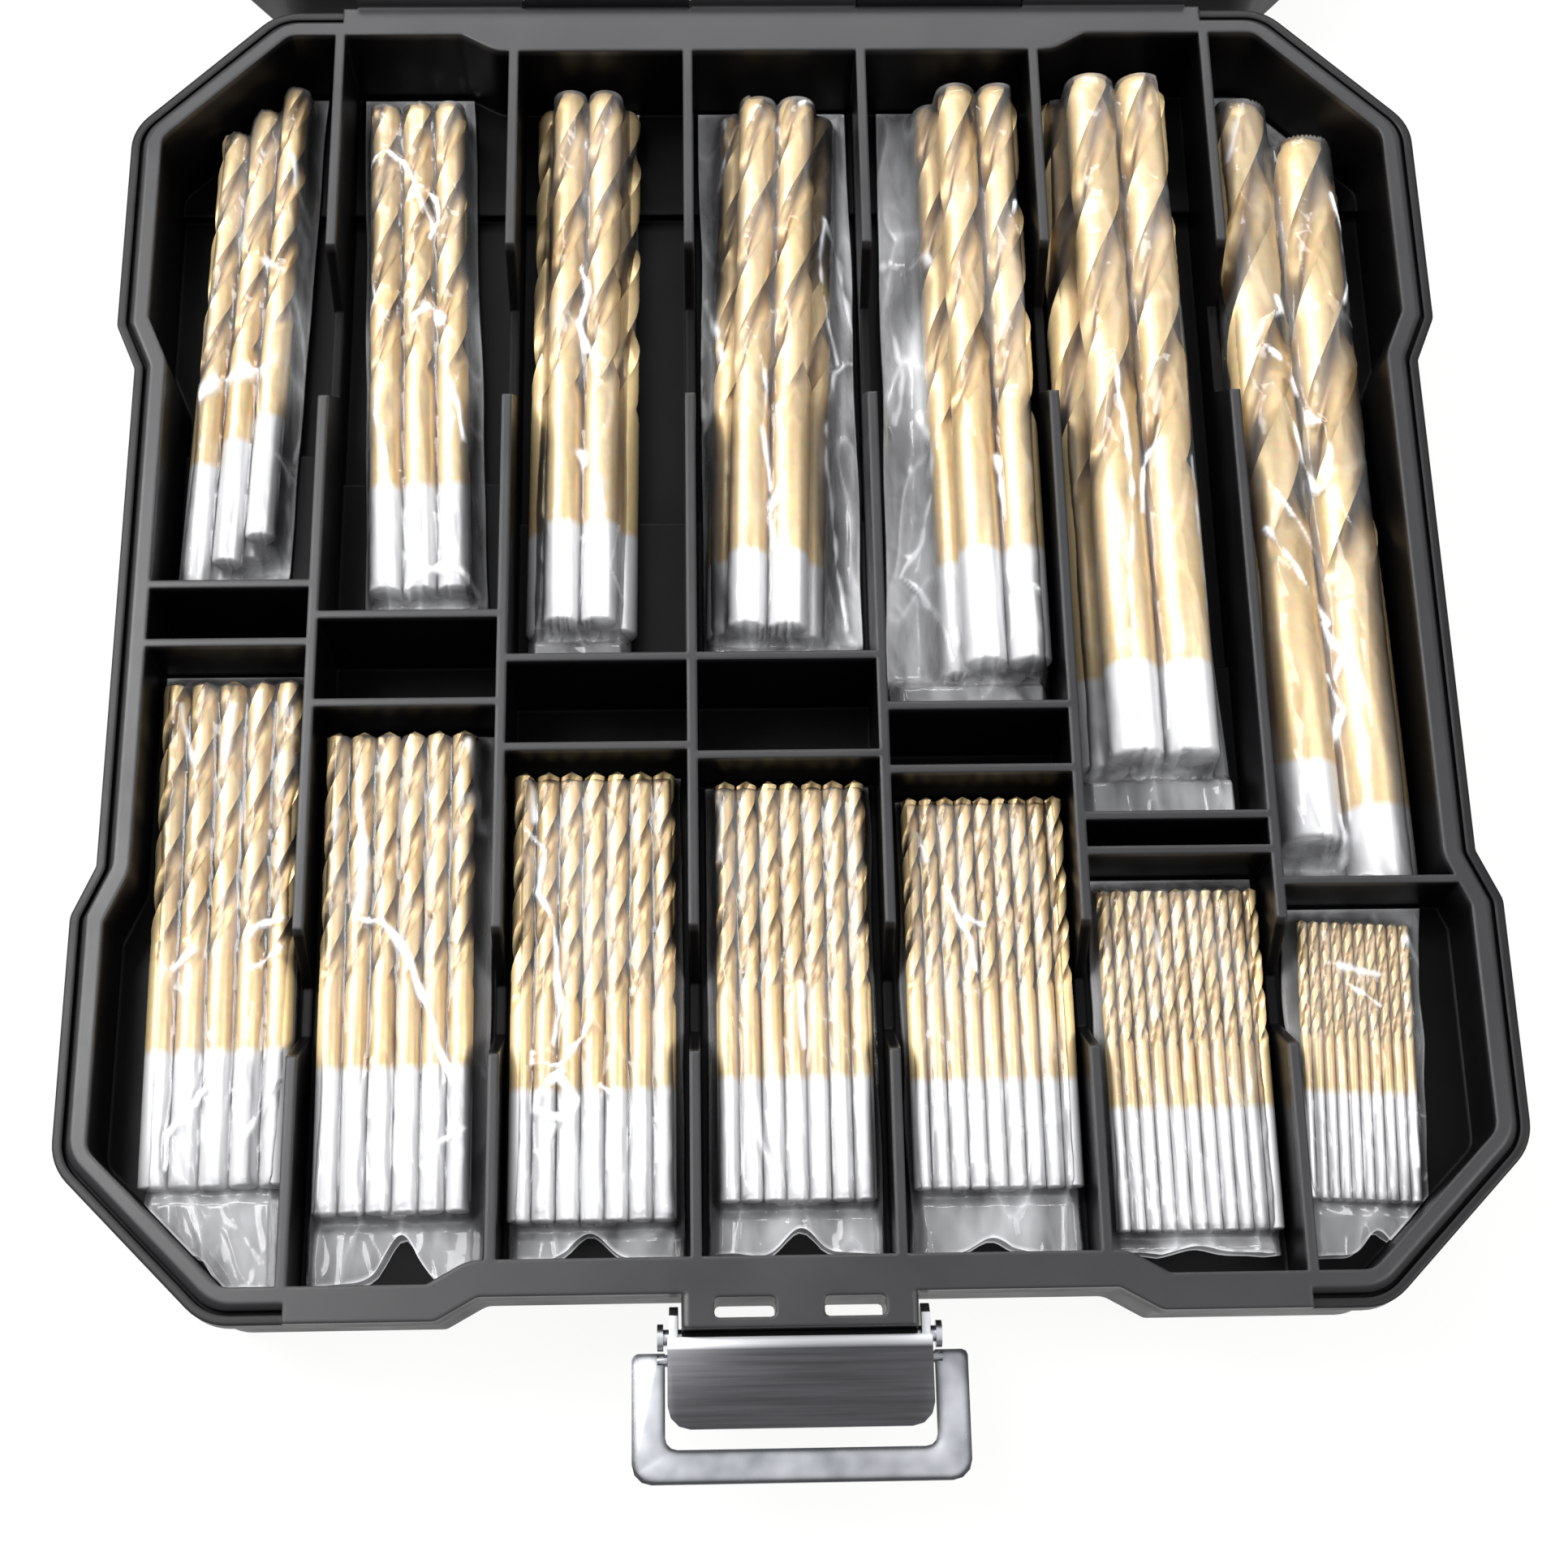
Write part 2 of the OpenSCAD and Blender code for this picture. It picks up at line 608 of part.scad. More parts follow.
module bag(i, wall_y, place, z, d, long, n_low, n_top) {
    low = fitting(i, d, n_low);
    top = fitting(i, d, n_top);
    w = bundle_w(d, low, top);
    h = bundle_h(d, low);
    lean = abs(place[3]) * w / 2;
    y0 = -min(film_tail + lean, place[2] - 0.45);
    y1 = long + film_tip + lean;
    color([0.85, 0.87, 0.9, 0.4]) difference() {
        intersection() {
            placed(i, wall_y, place, z, w, long) sleeve(w, h, y0, y1, bit_gap + film_t, true);
            slab(rim_w + bag_lift, 0, 2 * rim_z);
        }
        intersection() {
            placed(i, wall_y, place, z, w, long) sleeve(w, h, y0, y1, bit_gap, false);
            slab(rim_w + bag_lift + film_t, 0, 2 * rim_z);
        }
    }
}

module rear_bits(i) {
    bits(i, rear_wall_y(i), rear_place[i], pad_z, rear_d[i], rear_bit_len(i),
        rear_flute[i], rear_low[i], rear_top[i]);
}

module front_bits(i) {
    bits(i, inner_front_y, front_place[i], front_floor_z, front_d[i], front_bit_len[i],
        front_flute[i], front_low[i], front_top[i]);
}

module rear_bag(i) {
    bag(i, rear_wall_y(i), rear_place[i], pad_z, rear_d[i], rear_bit_len(i),
        rear_low[i], rear_top[i]);
}

module front_bag(i) {
    bag(i, inner_front_y, front_place[i], front_floor_z, front_d[i], front_bit_len[i],
        front_low[i], front_top[i]);
}

base_tray();
lid();
hinge_pin();
latch_pin();
latch_lever();
latch_loop();
rear_bits(0);  // bits_4_5
rear_bits(1);  // bits_5_0
rear_bits(2);  // bits_5_5
rear_bits(3);  // bits_6_0
rear_bits(4);  // bits_6_5
rear_bits(5);  // bits_8_0
rear_bits(6);  // bits_10_0
front_bits(0);  // bits_4_0
front_bits(1);  // bits_3_5
front_bits(2);  // bits_3_2
front_bits(3);  // bits_3_0
front_bits(4);  // bits_2_5
front_bits(5);  // bits_2_0
front_bits(6);  // bits_1_5
rear_bag(0);  // bag_4_5
rear_bag(1);  // bag_5_0
rear_bag(2);  // bag_5_5
rear_bag(3);  // bag_6_0
rear_bag(4);  // bag_6_5
rear_bag(5);  // bag_8_0
rear_bag(6);  // bag_10_0
front_bag(0);  // bag_4_0
front_bag(1);  // bag_3_5
front_bag(2);  // bag_3_2
front_bag(3);  // bag_3_0
front_bag(4);  // bag_2_5
front_bag(5);  // bag_2_0
front_bag(6);  // bag_1_5
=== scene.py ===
import math
import bmesh
import bpy
import numpy as np
from mathutils import Euler, Matrix, Vector, noise


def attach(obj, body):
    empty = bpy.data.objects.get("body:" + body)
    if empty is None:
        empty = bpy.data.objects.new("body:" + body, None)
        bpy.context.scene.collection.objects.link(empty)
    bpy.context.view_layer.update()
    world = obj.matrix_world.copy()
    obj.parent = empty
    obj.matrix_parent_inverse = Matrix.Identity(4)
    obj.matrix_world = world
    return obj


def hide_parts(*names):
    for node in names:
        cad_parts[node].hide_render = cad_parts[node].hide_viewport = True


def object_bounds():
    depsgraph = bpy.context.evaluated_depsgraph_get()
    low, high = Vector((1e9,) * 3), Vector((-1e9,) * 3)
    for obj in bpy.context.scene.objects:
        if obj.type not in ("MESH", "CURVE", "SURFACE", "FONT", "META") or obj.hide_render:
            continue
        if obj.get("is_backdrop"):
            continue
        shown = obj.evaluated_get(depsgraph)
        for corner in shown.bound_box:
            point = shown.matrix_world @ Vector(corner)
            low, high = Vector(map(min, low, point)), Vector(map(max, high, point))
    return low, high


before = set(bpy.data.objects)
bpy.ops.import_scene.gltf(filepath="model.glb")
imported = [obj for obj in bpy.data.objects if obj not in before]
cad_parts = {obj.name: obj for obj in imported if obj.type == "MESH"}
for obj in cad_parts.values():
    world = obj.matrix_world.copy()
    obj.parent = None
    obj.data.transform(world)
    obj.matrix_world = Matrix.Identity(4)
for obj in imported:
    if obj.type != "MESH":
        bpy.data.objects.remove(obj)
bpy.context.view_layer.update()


# ---- Tray and lid ----
# Two injection moulded shells of black polypropylene. The mould gives them a fine spark-eroded grain. Their
# colour is painted by height: greyer on the rim and divider tops, a painted light, and near black in the
# pockets, a painted shade; the tops also have a higher specular level.

def new_material(name):
    material = bpy.data.materials.new(name)
    material.use_nodes = True
    tree = material.node_tree
    return material, tree, tree.nodes["Principled BSDF"]


def node(tree, kind, links=(), **settings):
    made = tree.nodes.new(kind)
    for key, value in settings.items():
        if hasattr(made, key):
            setattr(made, key, value)
        else:
            made.inputs[key].default_value = value
    for socket, source in dict(links).items():
        tree.links.new(source, made.inputs[socket])
    return made


def moulded_plastic(name, painted_rim_colour):
    """Painted by height: near black in the pockets, a painted shade, and greyer on the rim, a painted light.
    The rim also has a higher specular level.
    """
    material, tree, shader = new_material(name)
    place = node(tree, "ShaderNodeTexCoord").outputs["Object"]
    height = node(tree, "ShaderNodeSeparateXYZ", {0: place}).outputs["Z"]
    # Painted light and shade by height: the rim tops are painted greyer and all below them near black
    painted_rim_light_mask = node(tree, "ShaderNodeMapRange", {"Value": height},
                   **{"From Min": 0.0200, "From Max": 0.0213})
    skin = node(tree, "ShaderNodeValToRGB", {"Fac": painted_rim_light_mask.outputs["Result"]})
    skin.color_ramp.elements[0].color = (0.0012, 0.0012, 0.0015, 1)
    skin.color_ramp.elements[1].color = (*painted_rim_colour, 1)
    tree.links.new(skin.outputs["Color"], shader.inputs["Base Color"])
    height_specular = node(tree, "ShaderNodeMapRange", {"Value": painted_rim_light_mask.outputs["Result"]},
                  **{"To Min": 0.1, "To Max": 0.45})
    tree.links.new(height_specular.outputs["Result"], shader.inputs["Specular IOR Level"])
    grain = node(tree, "ShaderNodeTexNoise", {"Vector": place}, Scale=2600.0, Detail=3.0)
    smears = node(tree, "ShaderNodeTexNoise", {"Vector": place}, Scale=70.0, Detail=5.0, Roughness=0.6)
    gloss = node(tree, "ShaderNodeMapRange", {"Value": smears.outputs["Fac"]},
                 **{"From Min": 0.3, "From Max": 0.7, "To Min": 0.3, "To Max": 0.42})
    tree.links.new(gloss.outputs["Result"], shader.inputs["Roughness"])
    soft_edge = node(tree, "ShaderNodeBevel", samples=6, Radius=0.0007)
    bump = node(tree, "ShaderNodeBump",
                {"Height": grain.outputs["Fac"], "Normal": soft_edge.outputs["Normal"]},
                Strength=0.16, Distance=0.00004)
    tree.links.new(bump.outputs["Normal"], shader.inputs["Normal"])
    return material


# The rim colour is painted light on each shell's rim tops
for shell, painted_rim_colour in (("base_tray", (0.0135, 0.0135, 0.0145)), ("lid", (0.003, 0.003, 0.004))):
    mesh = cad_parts[shell].data
    mesh.materials.clear()
    mesh.materials.append(moulded_plastic("black_polypropylene_" + shell, painted_rim_colour))


# ---- Hinge pin and latch pin ----
# Cut from drawn steel wire, zinc plated. The hinge pin is pressed through the
# knuckles, and the latch pin is headed at both ends.

def steel(name, colour, roughness, streak_along, streak):
    material, tree, shader = new_material(name)
    shader.inputs["Base Color"].default_value = (*colour, 1)
    shader.inputs["Metallic"].default_value = 1.0
    place = node(tree, "ShaderNodeTexCoord").outputs["Object"]
    stretch = node(tree, "ShaderNodeMapping", {"Vector": place})
    stretch.inputs["Scale"].default_value = streak_along
    brushing = node(tree, "ShaderNodeTexNoise", {"Vector": stretch.outputs["Vector"]}, Scale=1.0, Detail=4.0)
    rough = node(tree, "ShaderNodeMapRange", {"Value": brushing.outputs["Fac"]})
    rough.inputs["To Min"].default_value = roughness - streak
    rough.inputs["To Max"].default_value = roughness + streak
    tree.links.new(rough.outputs["Result"], shader.inputs["Roughness"])
    bump = node(tree, "ShaderNodeBump", {"Height": brushing.outputs["Fac"]}, Strength=0.2, Distance=0.00002)
    tree.links.new(bump.outputs["Normal"], shader.inputs["Normal"])
    return material


drawn_wire = steel("drawn_wire", (0.55, 0.56, 0.58), 0.3, (90, 3000, 3000), 0.06)
for pin in ("hinge_pin", "latch_pin"):
    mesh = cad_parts[pin].data
    mesh.materials.clear()
    mesh.materials.append(drawn_wire)
    mesh.shade_smooth()
    mesh.set_sharp_from_angle(angle=math.radians(35))


# ---- Latch lever ----
# Stamped from 1 mm steel sheet and folded: a plate with two ears that turn on the
# latch pin. It is plated dark and brushed along its width.

def finished_sheet(cad_node, name, edge, body, material):
    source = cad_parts[cad_node].data.copy()
    work = bmesh.new()
    work.from_mesh(source)
    bmesh.ops.remove_doubles(work, verts=work.verts, dist=2e-6)
    bmesh.ops.dissolve_limit(work, angle_limit=math.radians(1), verts=work.verts, edges=work.edges)
    bmesh.ops.recalc_face_normals(work, faces=work.faces)
    work.to_mesh(source)
    work.free()
    part = bpy.data.objects.new(name, source)
    bpy.context.scene.collection.objects.link(part)
    rounding = part.modifiers.new("edges", "BEVEL")
    rounding.width = edge
    rounding.segments = 3
    rounding.limit_method = "ANGLE"
    rounding.angle_limit = math.radians(32)
    bpy.context.view_layer.update()
    seen = part.evaluated_get(bpy.context.evaluated_depsgraph_get())
    baked = bpy.data.meshes.new_from_object(seen)
    part.modifiers.clear()
    part.data = baked
    baked.materials.clear()
    baked.materials.append(material)
    baked.shade_smooth()
    baked.set_sharp_from_angle(angle=math.radians(38))
    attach(part, body)
    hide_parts(cad_node)
    return part


dark_plate = steel("dark_plated_steel", (0.07, 0.07, 0.075), 0.36, (60, 5200, 5200), 0.08)
tree = dark_plate.node_tree
# The plating is brushed in streaks, and painted bright along the fold beside the case, a painted highlight
# where the bend catches the light
place = node(tree, "ShaderNodeTexCoord").outputs["Object"]
depth = node(tree, "ShaderNodeSeparateXYZ", {0: place}).outputs["Y"]
fold_highlight_mask = node(tree, "ShaderNodeMapRange", {"Value": depth}, **{"From Min": -0.1066, "From Max": -0.1054})
drawn_out = node(tree, "ShaderNodeMapping", {"Vector": place})
drawn_out.inputs["Scale"].default_value = (50, 1700, 1700)
streaks = node(tree, "ShaderNodeTexNoise", {"Vector": drawn_out.outputs["Vector"]}, Scale=1.0, Detail=3.0)
brushed = node(tree, "ShaderNodeValToRGB", {"Fac": streaks.outputs["Fac"]})
brushed.color_ramp.elements[0].position = 0.3
brushed.color_ramp.elements[0].color = (0.046, 0.046, 0.049, 1)
brushed.color_ramp.elements[1].position = 0.7
brushed.color_ramp.elements[1].color = (0.074, 0.073, 0.078, 1)
# Past the fold the colour is painted bright metal, a painted highlight
plating = node(tree, "ShaderNodeMix", {0: fold_highlight_mask.outputs["Result"]}, data_type="RGBA")
tree.links.new(brushed.outputs["Color"], plating.inputs[6])
plating.inputs[7].default_value = (0.7, 0.71, 0.73, 1)
tree.links.new(plating.outputs[2], tree.nodes["Principled BSDF"].inputs["Base Color"])
lever = finished_sheet("latch_lever", "latch_lever_sheet", 0.00028, "lever_body", dark_plate)


# ---- Latch loop ----
# A frame stamped from bright zinc plated steel, with two studs that spring into the
# lever's ears. Its bar hooks over the catch on the lid.

bright_plate = steel("bright_plated_steel", (0.5, 0.51, 0.53), 0.26, (400, 400, 2500), 0.06)
tree = bright_plate.node_tree
# The plating is painted darker along the cut edges, a painted shade where the rounded edges turn from the
# light
rolled = node(tree, "ShaderNodeBevel", samples=8, Radius=0.0016)
flat = node(tree, "ShaderNodeNewGeometry")
near_edge = node(tree, "ShaderNodeVectorMath",
                 {0: rolled.outputs["Normal"], 1: flat.outputs["True Normal"]}, operation="DOT_PRODUCT")
edge_shade_fade = node(tree, "ShaderNodeMapRange", {"Value": near_edge.outputs["Value"]},
            **{"From Min": 0.86, "From Max": 1.0, "To Min": 0.0, "To Max": 1.0})
across = node(tree, "ShaderNodeTexNoise", {"Vector": node(tree, "ShaderNodeTexCoord").outputs["Object"]},
              Scale=130.0, Detail=2.0)
zinc = node(tree, "ShaderNodeValToRGB", {"Fac": across.outputs["Fac"]})
zinc.color_ramp.elements[0].position = 0.3
zinc.color_ramp.elements[0].color = (0.26, 0.27, 0.29, 1)
zinc.color_ramp.elements[1].position = 0.65
zinc.color_ramp.elements[1].color = (0.62, 0.63, 0.66, 1)
# Near the edges the colour is painted near black, a painted shade
plating = node(tree, "ShaderNodeMix", {0: edge_shade_fade.outputs["Result"]}, data_type="RGBA")
plating.inputs[6].default_value = (0.05, 0.052, 0.055, 1)
tree.links.new(zinc.outputs["Color"], plating.inputs[7])
tree.links.new(plating.outputs[2], tree.nodes["Principled BSDF"].inputs["Base Color"])
loop = finished_sheet("latch_loop", "latch_loop_frame", 0.00046, "loop_body", bright_plate)


# ---- Twist drills ----
# Ground high speed steel with two helical flutes. The flutes and body carry a gold
# nitride coating, and the last part of each shank is left as bare ground steel.
# Each bag holds one size, in one or two layers.

millimetre = 0.001
case_half_width = 100
rim_width = 4.85
waist_depth = 3.1
side_pocket_width = 26.775
pocket_pitch = 27.35
divider_width = 1.5
film_wall = 0.3
drill_spacing_gap = 0.12
last_column = 6
rear_wall = (3.95, -1.05, -8.05, -8.05, -16.05, -33.05, -43.05)
front_wall = -97.95
rear_floor = 4.52
front_floor = 10.02
# Size, diameter, length, fluted length, lower layer, upper layer, bare shank, lie at the
# shanks and at the tips, distance of the shanks from the pocket's wall, and slope. A lie
# is a share of the bundle's free play, from -1 at the left of its pocket to 1 at the right
rear_drills = (
    ("4_5", 4.5, 80, 47, 2, 3, 20, -0.67, -0.14, 7.35, 0.93),
    ("5_0", 5.0, 86, 52, 2, 3, 17, 0.1, -0.48, 7.1, 0),
    ("5_5", 5.5, 93, 57, 3, 2, 16, -0.73, -0.57, 8.45, 0),
    ("6_0", 6.0, 93, 57, 3, 2, 12, -0.77, 0.19, 7, 0),
    ("6_5", 6.5, 101, 63, 2, 2, 18, 0.91, 0.79, 8.65, 0),
    ("8_0", 8.0, 117, 75, 2, 2, 14, -0.83, -0.97, 9.95, 0),
    ("10_0", 10.0, 128, 85, 0, 2, 12, 0.73, -0.64, 4.65, -0.7))
front_drills = (
    ("4_0", 4.0, 75, 43, 0, 5, 19, 0.92, -0.39, 14.95, 0),
    ("3_5", 3.5, 70, 39, 1, 6, 20, -0.18, -0.61, 10.6, 0),
    ("3_2", 3.2, 65, 36, 1, 7, 18, -0.53, -0.53, 9.2, 0),
    ("3_0", 3.0, 61, 33, 2, 7, 17, 0.12, 0.12, 11.6, 0),
    ("2_5", 2.5, 57, 30, 1, 9, 15, 0.65, 0.65, 13.1, 0),
    ("2_0", 2.0, 49, 24, 3, 11, 17, 0.66, 0.66, 7, 0),
    ("1_5", 1.5, 40, 18, 8, 10, 15, -0.73, -0.03, 10.95, 0))


def pocket(column):
    """Clear width and middle of a pocket, the outer ones at the waist of the case."""
    if column in (0, last_column):
        clear = side_pocket_width - waist_depth - divider_width / 2
        aside = case_half_width - rim_width - waist_depth - clear / 2
        return clear, -aside if column == 0 else aside
    return pocket_pitch - divider_width, (column - last_column / 2) * pocket_pitch


def bundle_lie(column, diameter, length, low, top, at_shanks, at_tips):
    """Place across the case and turn in degrees of a bundle, to the nearest hundredth."""
    half_drill = 0.5 if low == top else 0
    width = (max(low, top) + half_drill) * (diameter + drill_spacing_gap) - drill_spacing_gap
    clear, middle = pocket(column)
    play = (clear - width) / 2 - drill_spacing_gap - film_wall
    turn = math.degrees(math.asin(play * (at_shanks - at_tips) / length))
    return round(middle + play * at_shanks, 2), round(turn, 2)


drill_sets = []
for rows, walls, floor in ((rear_drills, rear_wall, rear_floor),
                           (front_drills, [front_wall] * len(front_drills), front_floor)):
    for column, row in enumerate(rows):
        (size, diameter, length, fluted, low, top, bare, at_shanks, at_tips, from_wall, slope) = row
        x0, turn = bundle_lie(column, diameter, length, low, top, at_shanks, at_tips)
        drill_sets.append((size, diameter, length, fluted, low, top, bare, x0,
                           walls[column] + from_wall, turn, slope, floor))


def layer_places(diameter, low, top, slope):
    """Each drill's offset across, along and up from its bundle's corner, lower layer first."""
    step = diameter + drill_spacing_gap
    half = step / 2 if low > 0 and (top - low) % 2 == 0 else 0
    shift = (-half / 2, half / 2) if low == top else (half, 0)
    rise = 0.87 * step if low > 0 else 0
    places = []
    for count, aside, height in ((low, shift[0], diameter / 2), (top, shift[1], diameter / 2 + rise)):
        for k in range(count):
            x = (k - (count - 1) / 2) * step + aside
            places.append((x, slope * x, height))
    return places


class Drawing:
    """Small shorthand for writing sums into a geometry tree."""

    def __init__(self, tree):
        self.tree = tree

    def sum(self, operation, *values):
        made = self.tree.nodes.new("ShaderNodeMath")
        made.operation = operation
        for socket, value in zip(made.inputs, values):
            if isinstance(value, (int, float)):
                socket.default_value = value
            else:
                self.tree.links.new(value, socket)
        return made.outputs[0]

    def ramp(self, value, low, high, smooth=False):
        made = self.tree.nodes.new("ShaderNodeMapRange")
        made.interpolation_type = "SMOOTHSTEP" if smooth else "LINEAR"
        for name, entry in (("Value", value), ("From Min", low), ("From Max", high)):
            if isinstance(entry, (int, float)):
                made.inputs[name].default_value = entry
            else:
                self.tree.links.new(entry, made.inputs[name])
        return made.outputs["Result"]

    def pick(self, test, if_false, if_true):
        """if_true where test is 1, if_false where it is 0."""
        return self.sum("ADD", self.sum("MULTIPLY", test, if_true),
                        self.sum("MULTIPLY", self.sum("SUBTRACT", 1.0, test), if_false))


def twist_drill_tree():
    tree = bpy.data.node_groups.new("twist_drills", "GeometryNodeTree")
    face = tree.interface
    face.new_socket(name="Shank ends", in_out="INPUT", socket_type="NodeSocketGeometry")
    for name, value in (("Diameter", 0.005), ("Length", 0.08), ("Fluted length", 0.05),
                        ("Lead", 0.025), ("Point", 0.0015), ("Core", 0.34), ("Turn", 0.0)):
        socket = face.new_socket(name=name, in_out="INPUT", socket_type="NodeSocketFloat")
        socket.default_value = value
    for name, value in (("Points around", 24), ("Rings", 60)):
        socket = face.new_socket(name=name, in_out="INPUT", socket_type="NodeSocketInt")
        socket.default_value = value
    face.new_socket(name="Finish", in_out="INPUT", socket_type="NodeSocketMaterial")
    face.new_socket(name="Drills", in_out="OUTPUT", socket_type="NodeSocketGeometry")
    given = tree.nodes.new("NodeGroupInput").outputs
    result = tree.nodes.new("NodeGroupOutput")
    d = Drawing(tree)

    sheet = tree.nodes.new("GeometryNodeMeshGrid")
    sheet.inputs["Size X"].default_value = 1
    sheet.inputs["Size Y"].default_value = 1
    tree.links.new(given["Points around"], sheet.inputs["Vertices X"])
    tree.links.new(given["Rings"], sheet.inputs["Vertices Y"])
    across = tree.nodes.new("ShaderNodeSeparateXYZ")
    tree.links.new(tree.nodes.new("GeometryNodeInputPosition").outputs[0], across.inputs[0])
    column = d.sum("MULTIPLY", d.sum("ADD", across.outputs["X"], 0.5), 2 * math.pi)
    last = d.sum("SUBTRACT", given["Rings"], 1.0)
    ring = d.sum("ROUND", d.sum("MULTIPLY", d.sum("ADD", across.outputs["Y"], 0.5), last))

    radius = d.sum("MULTIPLY", given["Diameter"], 0.5)
    plain = d.sum("SUBTRACT", given["Length"], given["Fluted length"])
    # The first rings close and chamfer the shank's end, and the rest share the flutes
    share = d.sum("DIVIDE", d.sum("SUBTRACT", ring, 3.0), d.sum("SUBTRACT", last, 3.0))
    in_flutes = d.sum("ADD", plain, d.sum("MULTIPLY", share, given["Fluted length"]))
    at_chamfer = d.sum("MULTIPLY", d.sum("COMPARE", ring, 2.0, 0.1), d.sum("MULTIPLY", radius, 0.15))
    along = d.pick(d.sum("GREATER_THAN", ring, 2.5), at_chamfer, in_flutes)

    run_out = d.sum("MULTIPLY", given["Diameter"], 1.3)
    depth = d.ramp(d.sum("SUBTRACT", along, plain), 0.0, run_out, smooth=True)
    # The columns of the grid wind with the flutes, so that the lands have clean edges
    wound = d.sum("MAXIMUM", d.sum("SUBTRACT", along, plain), 0.0)
    angle = d.sum("ADD", column, d.sum("DIVIDE", d.sum("MULTIPLY", wound, 2 * math.pi), given["Lead"]))
    phase = d.sum("FRACT", d.sum("ADD", d.sum("DIVIDE", column, math.pi), 0.001))
    # Each half turn is a land with a raised margin, and then a hollow
    land = 0.5
    margin_width = 0.07
    margin_height = 0.035
    within = d.sum("MAXIMUM", d.sum("DIVIDE", d.sum("SUBTRACT", phase, land), 1 - land), 0.0)
    hollow = d.sum("SINE", d.sum("MULTIPLY", d.sum("POWER", within, 0.6), math.pi))
    relief = d.sum("MULTIPLY", d.sum("GREATER_THAN", phase, margin_width), margin_height)
    deepest = d.sum("SUBTRACT", 1 - margin_height, given["Core"])
    cut = d.sum("ADD", d.sum("MULTIPLY", hollow, deepest), relief)
    body = d.sum("MULTIPLY", radius, d.sum("SUBTRACT", 1.0, d.sum("MULTIPLY", depth, cut)))
    to_tip = d.sum("SUBTRACT", given["Length"], along)
    cone = d.sum("MULTIPLY", radius, d.sum("DIVIDE", to_tip, given["Point"]))
    size = d.sum("MINIMUM", body, cone)
    size = d.sum("MULTIPLY", size, d.sum("SUBTRACT", 1.0, d.sum("COMPARE", ring, 0.0, 0.1)))
    chamfer = d.sum("MULTIPLY", d.sum("COMPARE", ring, 1.0, 0.1), 0.15)
    size = d.sum("MULTIPLY", size, d.sum("SUBTRACT", 1.0, chamfer))

    place = tree.nodes.new("ShaderNodeCombineXYZ")
    tree.links.new(d.sum("MULTIPLY", size, d.sum("SINE", angle)), place.inputs["X"])
    tree.links.new(along, place.inputs["Y"])
    tree.links.new(d.sum("MULTIPLY", size, d.sum("COSINE", angle)), place.inputs["Z"])
    # Facts that the finish reads: how deep in a flute, and how far from the shank's end
    geometry = sheet.outputs["Mesh"]
    for name, value in (("flute_depth", d.sum("MULTIPLY", depth, hollow)), ("from_shank", along)):
        keep = tree.nodes.new("GeometryNodeStoreNamedAttribute")
        keep.data_type = "FLOAT"
        keep.domain = "POINT"
        keep.inputs["Name"].default_value = name
        tree.links.new(geometry, keep.inputs["Geometry"])
        tree.links.new(value, keep.inputs["Value"])
        geometry = keep.outputs["Geometry"]
    wrap = tree.nodes.new("GeometryNodeSetPosition")
    tree.links.new(geometry, wrap.inputs["Geometry"])
    tree.links.new(place.outputs[0], wrap.inputs["Position"])
    weld = tree.nodes.new("GeometryNodeMergeByDistance")
    weld.inputs["Distance"].default_value = 1e-6
    tree.links.new(wrap.outputs["Geometry"], weld.inputs["Geometry"])

    spin = tree.nodes.new("GeometryNodeInputNamedAttribute")
    spin.data_type = "FLOAT"
    spin.inputs["Name"].default_value = "spin"
    turn = tree.nodes.new("ShaderNodeCombineXYZ")
    tree.links.new(spin.outputs["Attribute"], turn.inputs["Y"])
    tree.links.new(given["Turn"], turn.inputs["Z"])
    lay = tree.nodes.new("GeometryNodeInstanceOnPoints")
    tree.links.new(given["Shank ends"], lay.inputs["Points"])
    tree.links.new(weld.outputs["Geometry"], lay.inputs["Instance"])
    tree.links.new(turn.outputs[0], lay.inputs["Rotation"])
    real = tree.nodes.new("GeometryNodeRealizeInstances")
    tree.links.new(lay.outputs["Instances"], real.inputs["Geometry"])
    finish = tree.nodes.new("GeometryNodeSetMaterial")
    tree.links.new(real.outputs["Geometry"], finish.inputs["Geometry"])
    tree.links.new(given["Finish"], finish.inputs["Material"])
    tree.links.new(finish.outputs["Geometry"], result.inputs["Drills"])
    return tree


